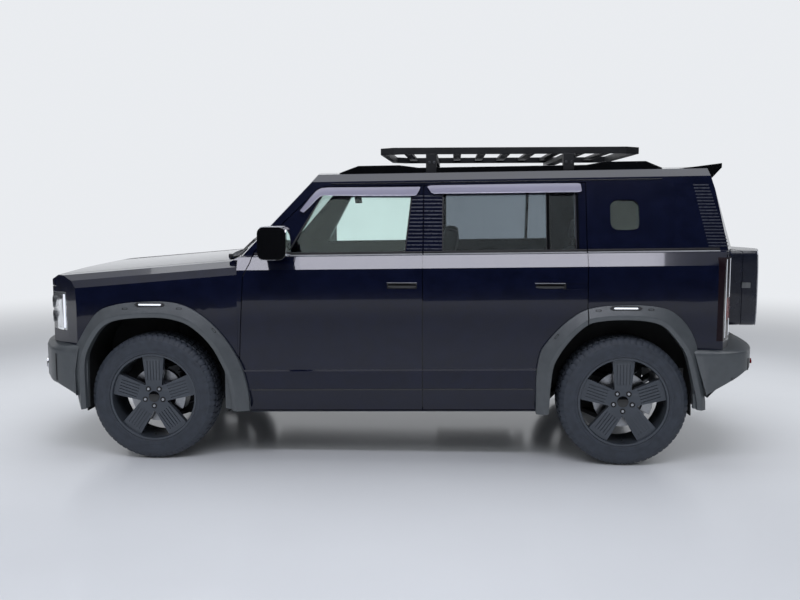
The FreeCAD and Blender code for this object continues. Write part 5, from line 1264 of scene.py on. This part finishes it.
def add_seats():
    parts = []
    for side, sign in SIDES:
        y = sign * FRONT_SEAT_Y
        parts.append(pad("front_cushion_" + side, (0.51, 0.49, 0.135), (-0.088, y, 0.565), -4,
                         (-0.45, 0, 0.45), 0.02))
        parts.append(pad("front_back_" + side, (0.6, 0.47, 0.125), (0.225, y, 0.925), -78,
                         BACK_CHANNELS, 0.02))
        parts.append(pad("front_head_" + side, (0.165, 0.25, 0.095), (0.298, y, 1.300), -80))
    for part in parts:
        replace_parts(part, "front_seats")
    rear = [pad("rear_cushion", (0.47, 1.27, 0.14), (0.82, 0, 0.640), -3, (-0.4, 0.1, 0.55), 0.014),
            pad("rear_back", (0.62, 1.25, 0.12), (1.135, 0, 0.955), -79, BACK_CHANNELS, 0.014)]
    for n, y in enumerate(REAR_SEAT_YS):
        rear.append(pad("rear_head_" + str(n), (0.150, 0.23, 0.085), (1.205, y, 1.350), -80))
    for part in rear:
        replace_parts(part, "rear_seat")


def add_seat_frames():
    """Boxes and slides under the seats, posts of the head rests, and belts."""
    frames = Build()
    for _, sign in SIDES:
        y = sign * FRONT_SEAT_Y
        frames.block((-0.30, y - 0.20, 0.455), (0.15, y + 0.20, 0.500))
        for d in (-0.17, 0.17):
            frames.block((-0.33, y + d - 0.016, 0.350), (0.20, y + d + 0.016, 0.372))
            for x in (-0.26, 0.12):
                frames.block((x - 0.02, y + d - 0.012, 0.370), (x + 0.02, y + d + 0.012, 0.460))
        for d in (-0.06, 0.06):
            frames.tube([(0.270, y + d, 1.18), (0.293, y + d, 1.28)], POST_RADIUS, 10)
    frames.block((0.60, -0.60, 0.350), (1.08, 0.60, 0.555))
    for y in REAR_SEAT_YS:
        for d in (-0.05, 0.05):
            frames.tube([(1.180, y + d, 1.23), (1.198, y + d, 1.32)], POST_RADIUS, 10)
    frames.done("seat_frames", "chassis", INTERIOR, bevel=0.003)
    belts = Build()
    line = ((0.19, 0.7, 0.5), (0.2, 0.7, 0.8), (0.215, 0.6895, 1.1), (0.22, 0.658, 1.32))
    for _, sign in SIDES:
        belts.loft([[(x + a, sign * y + b, z) for a, b in square(-0.022, 0.022, -0.0008, 0.0008)]
                    for x, y, z in line])
    belts.done("belts", "chassis", SEAM, smooth=60)


def add_dashboard_details():
    """Two screens, vents and the pad of the steering wheel."""
    screens, vents, hub = Build(), Build(), Build()
    screens.block((-0.678, -0.115, 1.000), (-0.660, 0.175, 1.132))
    screens.block((-0.678, -0.500, 1.050), (-0.660, -0.240, 1.132))
    screens.done("screens", "chassis", LACQUER, bevel=0.006, segments=3)
    for y in (-0.70, -0.20, 0.25, 0.66):
        for n in range(5):
            z = 0.930 + n * 0.011
            vents.block((-0.668, y - 0.055, z), (-0.660, y + 0.055, z + 0.004))
    vents.block((-0.668, 0.34, 1.00), (-0.662, 0.80, 1.012))
    vents.done("vents", "chassis", GLOSS, bevel=0.0012)
    tilt = math.radians(26)
    hub.lathe([(0.0, 0.020), (0.045, 0.017), (0.062, 0.006), (0.066, -0.012), (0.050, -0.03)],
              (-0.5155, -0.370, 0.985), (math.cos(tilt), 0, math.sin(tilt)), 36)
    hub.done("wheel_pad", "steering_wheel", INTERIOR, smooth=50)


def add_console():
    rings = []
    for x, half, top in ((-0.66, 0.10, 0.86), (-0.55, 0.105, 0.80), (-0.40, 0.11, 0.74), (-0.20, 0.11, 0.72),
                         (0.05, 0.11, 0.735), (0.24, 0.105, 0.73), (0.30, 0.10, 0.66)):
        rings.append([(x, y, z) for y, z in ((-half, 0.40), (-half, top - 0.03), (-half + 0.025, top),
                                             (half - 0.025, top), (half, top - 0.03), (half, 0.40))])
    lofted("console", rings, "chassis", INTERIOR, smooth=35, bevel=0.008)
    knob = Build()
    knob.tube([(-0.36, 0.0, 0.735), (-0.36, 0.0, 0.79)], 0.011, 16)
    knob.lathe([(0.0, 0.028), (0.016, 0.026), (0.024, 0.014), (0.024, 0.002), (0.012, -0.006)],
               (-0.36, 0, 0.79), (0.2, 0, 1), 28)
    knob.done("gear_knob", "chassis", GLOSS, smooth=50)


def add_cabin_mirror():
    mirror = Build()
    mirror.block((-0.012, -0.115, -0.032), (0.012, 0.115, 0.032), Matrix.Rotation(math.radians(-8), 3, "Y"),
                 (-0.335, 0, 1.575))
    mirror.tube([(-0.355, 0, 1.60), (-0.375, 0, 1.640)], 0.007, 10)
    mirror.done("cabin_mirror", "chassis", INTERIOR, bevel=0.007, segments=3)


def add_engine_cover():
    cover = Build()
    cover.block((-1.80, -0.27, 0.965), (-1.29, 0.27, 0.995))
    for n in range(6):
        y = -0.20 + n * 0.08
        cover.block((-1.77, y - 0.012, 0.990), (-1.32, y + 0.012, 1.003))
    cover.lathe([(0.0, 0.016), (0.03, 0.016), (0.036, 0.010), (0.036, 0.0)], (-1.36, 0.32, 0.985), UP)
    cover.done("engine_cover", "chassis", INTERIOR, bevel=0.006)


add_seats()
add_seat_frames()
add_dashboard_details()
add_console()
add_cabin_mirror()
add_engine_cover()


# Camera, light and floor

BACKDROP = (0.82, 0.84, 0.87, 1)


def add_camera():
    """The photograph's viewpoint, solved from the vehicle's measured points."""
    yaw, pitch, roll = (math.radians(a) for a in (-3.47, 6.02, -0.09))
    ahead = Vector((math.sin(yaw) * math.cos(pitch), math.cos(yaw) * math.cos(pitch), -math.sin(pitch)))
    right = Vector((math.cos(yaw), -math.sin(yaw), 0))
    up = right.cross(ahead)
    tilted = right * math.cos(roll) + up * math.sin(roll)
    upward = -right * math.sin(roll) + up * math.cos(roll)
    data = bpy.data.cameras.new("camera")
    data.sensor_width = 36
    data.lens = 40.88
    data.clip_end = 200
    obj = scene_object("camera", data)
    turn = Matrix((tilted, upward, -ahead)).transposed()
    obj.matrix_world = Matrix.Translation((0.3305, -6.255, 1.536)) @ turn.to_4x4()
    bpy.context.scene.camera = obj


def add_light(name, at, target, size, strength, colour=(1, 1, 1), in_gloss=True):
    """Soft panel; strength is the brightness of its face."""
    data = bpy.data.lights.new(name, "AREA")
    data.shape = "RECTANGLE"
    data.size, data.size_y = size
    data.energy = strength * math.pi * size[0] * size[1]
    data.color = colour
    obj = scene_object(name, data)
    obj.location = at
    obj.rotation_mode = "QUATERNION"
    obj.rotation_quaternion = (Vector(at) - Vector(target)).to_track_quat("Z", "Y")
    obj.visible_camera = False
    obj.visible_glossy = in_gloss


def seen_rays(tree):
    """1 for rays of the camera, in gloss and through glass, 0 for the rest."""
    path = new_node(tree, "LightPath").outputs
    either = math_node(tree, "MAXIMUM", path["Is Camera Ray"], path["Is Glossy Ray"])
    return math_node(tree, "MAXIMUM", either, path["Is Transmission Ray"])


def mix_shaders(tree, share, first, second, target):
    mix = new_node(tree, "MixShader")
    tree.links.new(share, mix.inputs["Fac"])
    tree.links.new(first.outputs[0], mix.inputs[1])
    tree.links.new(second.outputs[0], mix.inputs[2])
    tree.links.new(mix.outputs[0], target.inputs["Surface"])


def add_world():
    """Pale surroundings to the eye, in gloss and through glass; a quieter even light for the rest."""
    world = bpy.data.worlds.new("studio")
    bpy.context.scene.world = world
    world.use_nodes = True
    tree = world.node_tree
    tree.nodes.clear()
    rest = new_node(tree, "Background", Color=(0.9, 0.93, 1.0, 1), Strength=0.42)
    seen = new_node(tree, "Background", Color=BACKDROP, Strength=1.0)
    mix_shaders(tree, seen_rays(tree), rest, seen, new_node(tree, "OutputWorld"))


def fade_to_backdrop(material, near, far):
    """Lets a floor run out into the pale surroundings, to the eye, in gloss and through glass."""
    tree = material.node_tree
    far_off = new_node(tree, "VectorMath")
    far_off.operation = "LENGTH"
    spread = new_node(tree, "MapRange", From_Min=near, From_Max=far)
    spread.interpolation_type = "SMOOTHSTEP"
    tree.links.new(new_node(tree, "NewGeometry").outputs["Position"], far_off.inputs[0])
    tree.links.new(far_off.outputs["Value"], spread.inputs["Value"])
    share = math_node(tree, "MULTIPLY", seen_rays(tree), spread.outputs["Result"])
    mix_shaders(tree, share, tree.nodes["Principled BSDF"], new_node(tree, "Emission", Color=BACKDROP),
                tree.nodes["Material Output"])


def stage_grid(name, verts, faces, material, unseen=()):
    """A mesh of the studio that does not show in the unseen kinds of ray."""
    obj = scene_object(name, new_mesh(name, verts, faces))
    obj.data.materials.append(material)
    for kind in unseen:
        setattr(obj, "visible_" + kind, False)


def add_floor():
    steps = np.linspace(-26, 26, 27)
    n = len(steps)
    verts = [(x, y, 0.0) for y in steps for x in steps]
    faces = [(a, a + 1, a + n + 1, a + n) for a in (r * n + c for r in range(n - 1) for c in range(n - 1))]
    paint = surface("floor_paint", (0.84, 0.86, 0.88), 0.17, vary=0.02, scale=0.7, grain=0.02, grain_scale=30)
    fade_to_backdrop(paint, 3.5, 11.0)
    stage_grid("floor", verts, faces, paint)


def add_flag():
    """Dark cloth round the studio, which keeps dark paint dark; it shows in gloss alone.

    A gap on the far side lets the pale surroundings into the hood.
    """
    radius, steps, levels = 11.5, 48, (0.0, 1.25, 3.6, 6.0, 9.0, 12.0)
    turns = [2 * math.pi * k / steps for k in range(steps)]
    verts = [(radius * math.cos(a), radius * math.sin(a), z) for z in levels for a in turns]
    faces = []
    for r in range(len(levels) - 1):
        for c in range(steps):
            in_gap = r == 1 and 4 <= c < 20
            if not in_gap:
                a, b = r * steps + c, r * steps + (c + 1) % steps
                faces.append((a, b, b + steps, a + steps))
    cloth = surface("flag_cloth", (0.02, 0.02, 0.024), 0.9, vary=0.2, scale=3)
    stage_grid("flag", verts, faces, cloth, ("camera", "shadow", "diffuse", "transmission"))


add_camera()
add_world()
add_floor()
add_flag()
# Name, place, target, size, strength and colour; the last two are left out of gloss
add_light("ceiling", (0.2, 0.6, 5.2), (0.2, 0.6, 0), (7.5, 3.6), 1.5, (0.95, 0.97, 1.0))
add_light("near_strip", (-0.2, -4.1, 5.0), (-0.2, -1.0, 1.2), (5.6, 0.5), 11.0, (0.88, 0.88, 1.0))
add_light("far_strip", (-0.3, 4.6, 4.6), (-0.3, 1.0, 1.2), (5.6, 0.5), 5.0, (0.95, 0.96, 1.0))
add_light("fill", (-6.5, -5.5, 3.2), (0, 0, 0.8), (2.4, 2.0), 1.0)
add_light("near_soft", (0.0, -5.2, 4.6), (0.0, -1.0, 0.6), (7.0, 1.6), 1.3, (0.93, 0.97, 0.95), False)
add_light("far_soft", (0.0, 5.4, 4.6), (0.0, 1.0, 0.6), (7.0, 1.6), 1.0, (0.95, 0.96, 1.0), False)

bpy.context.scene.view_settings.view_transform = "Standard"
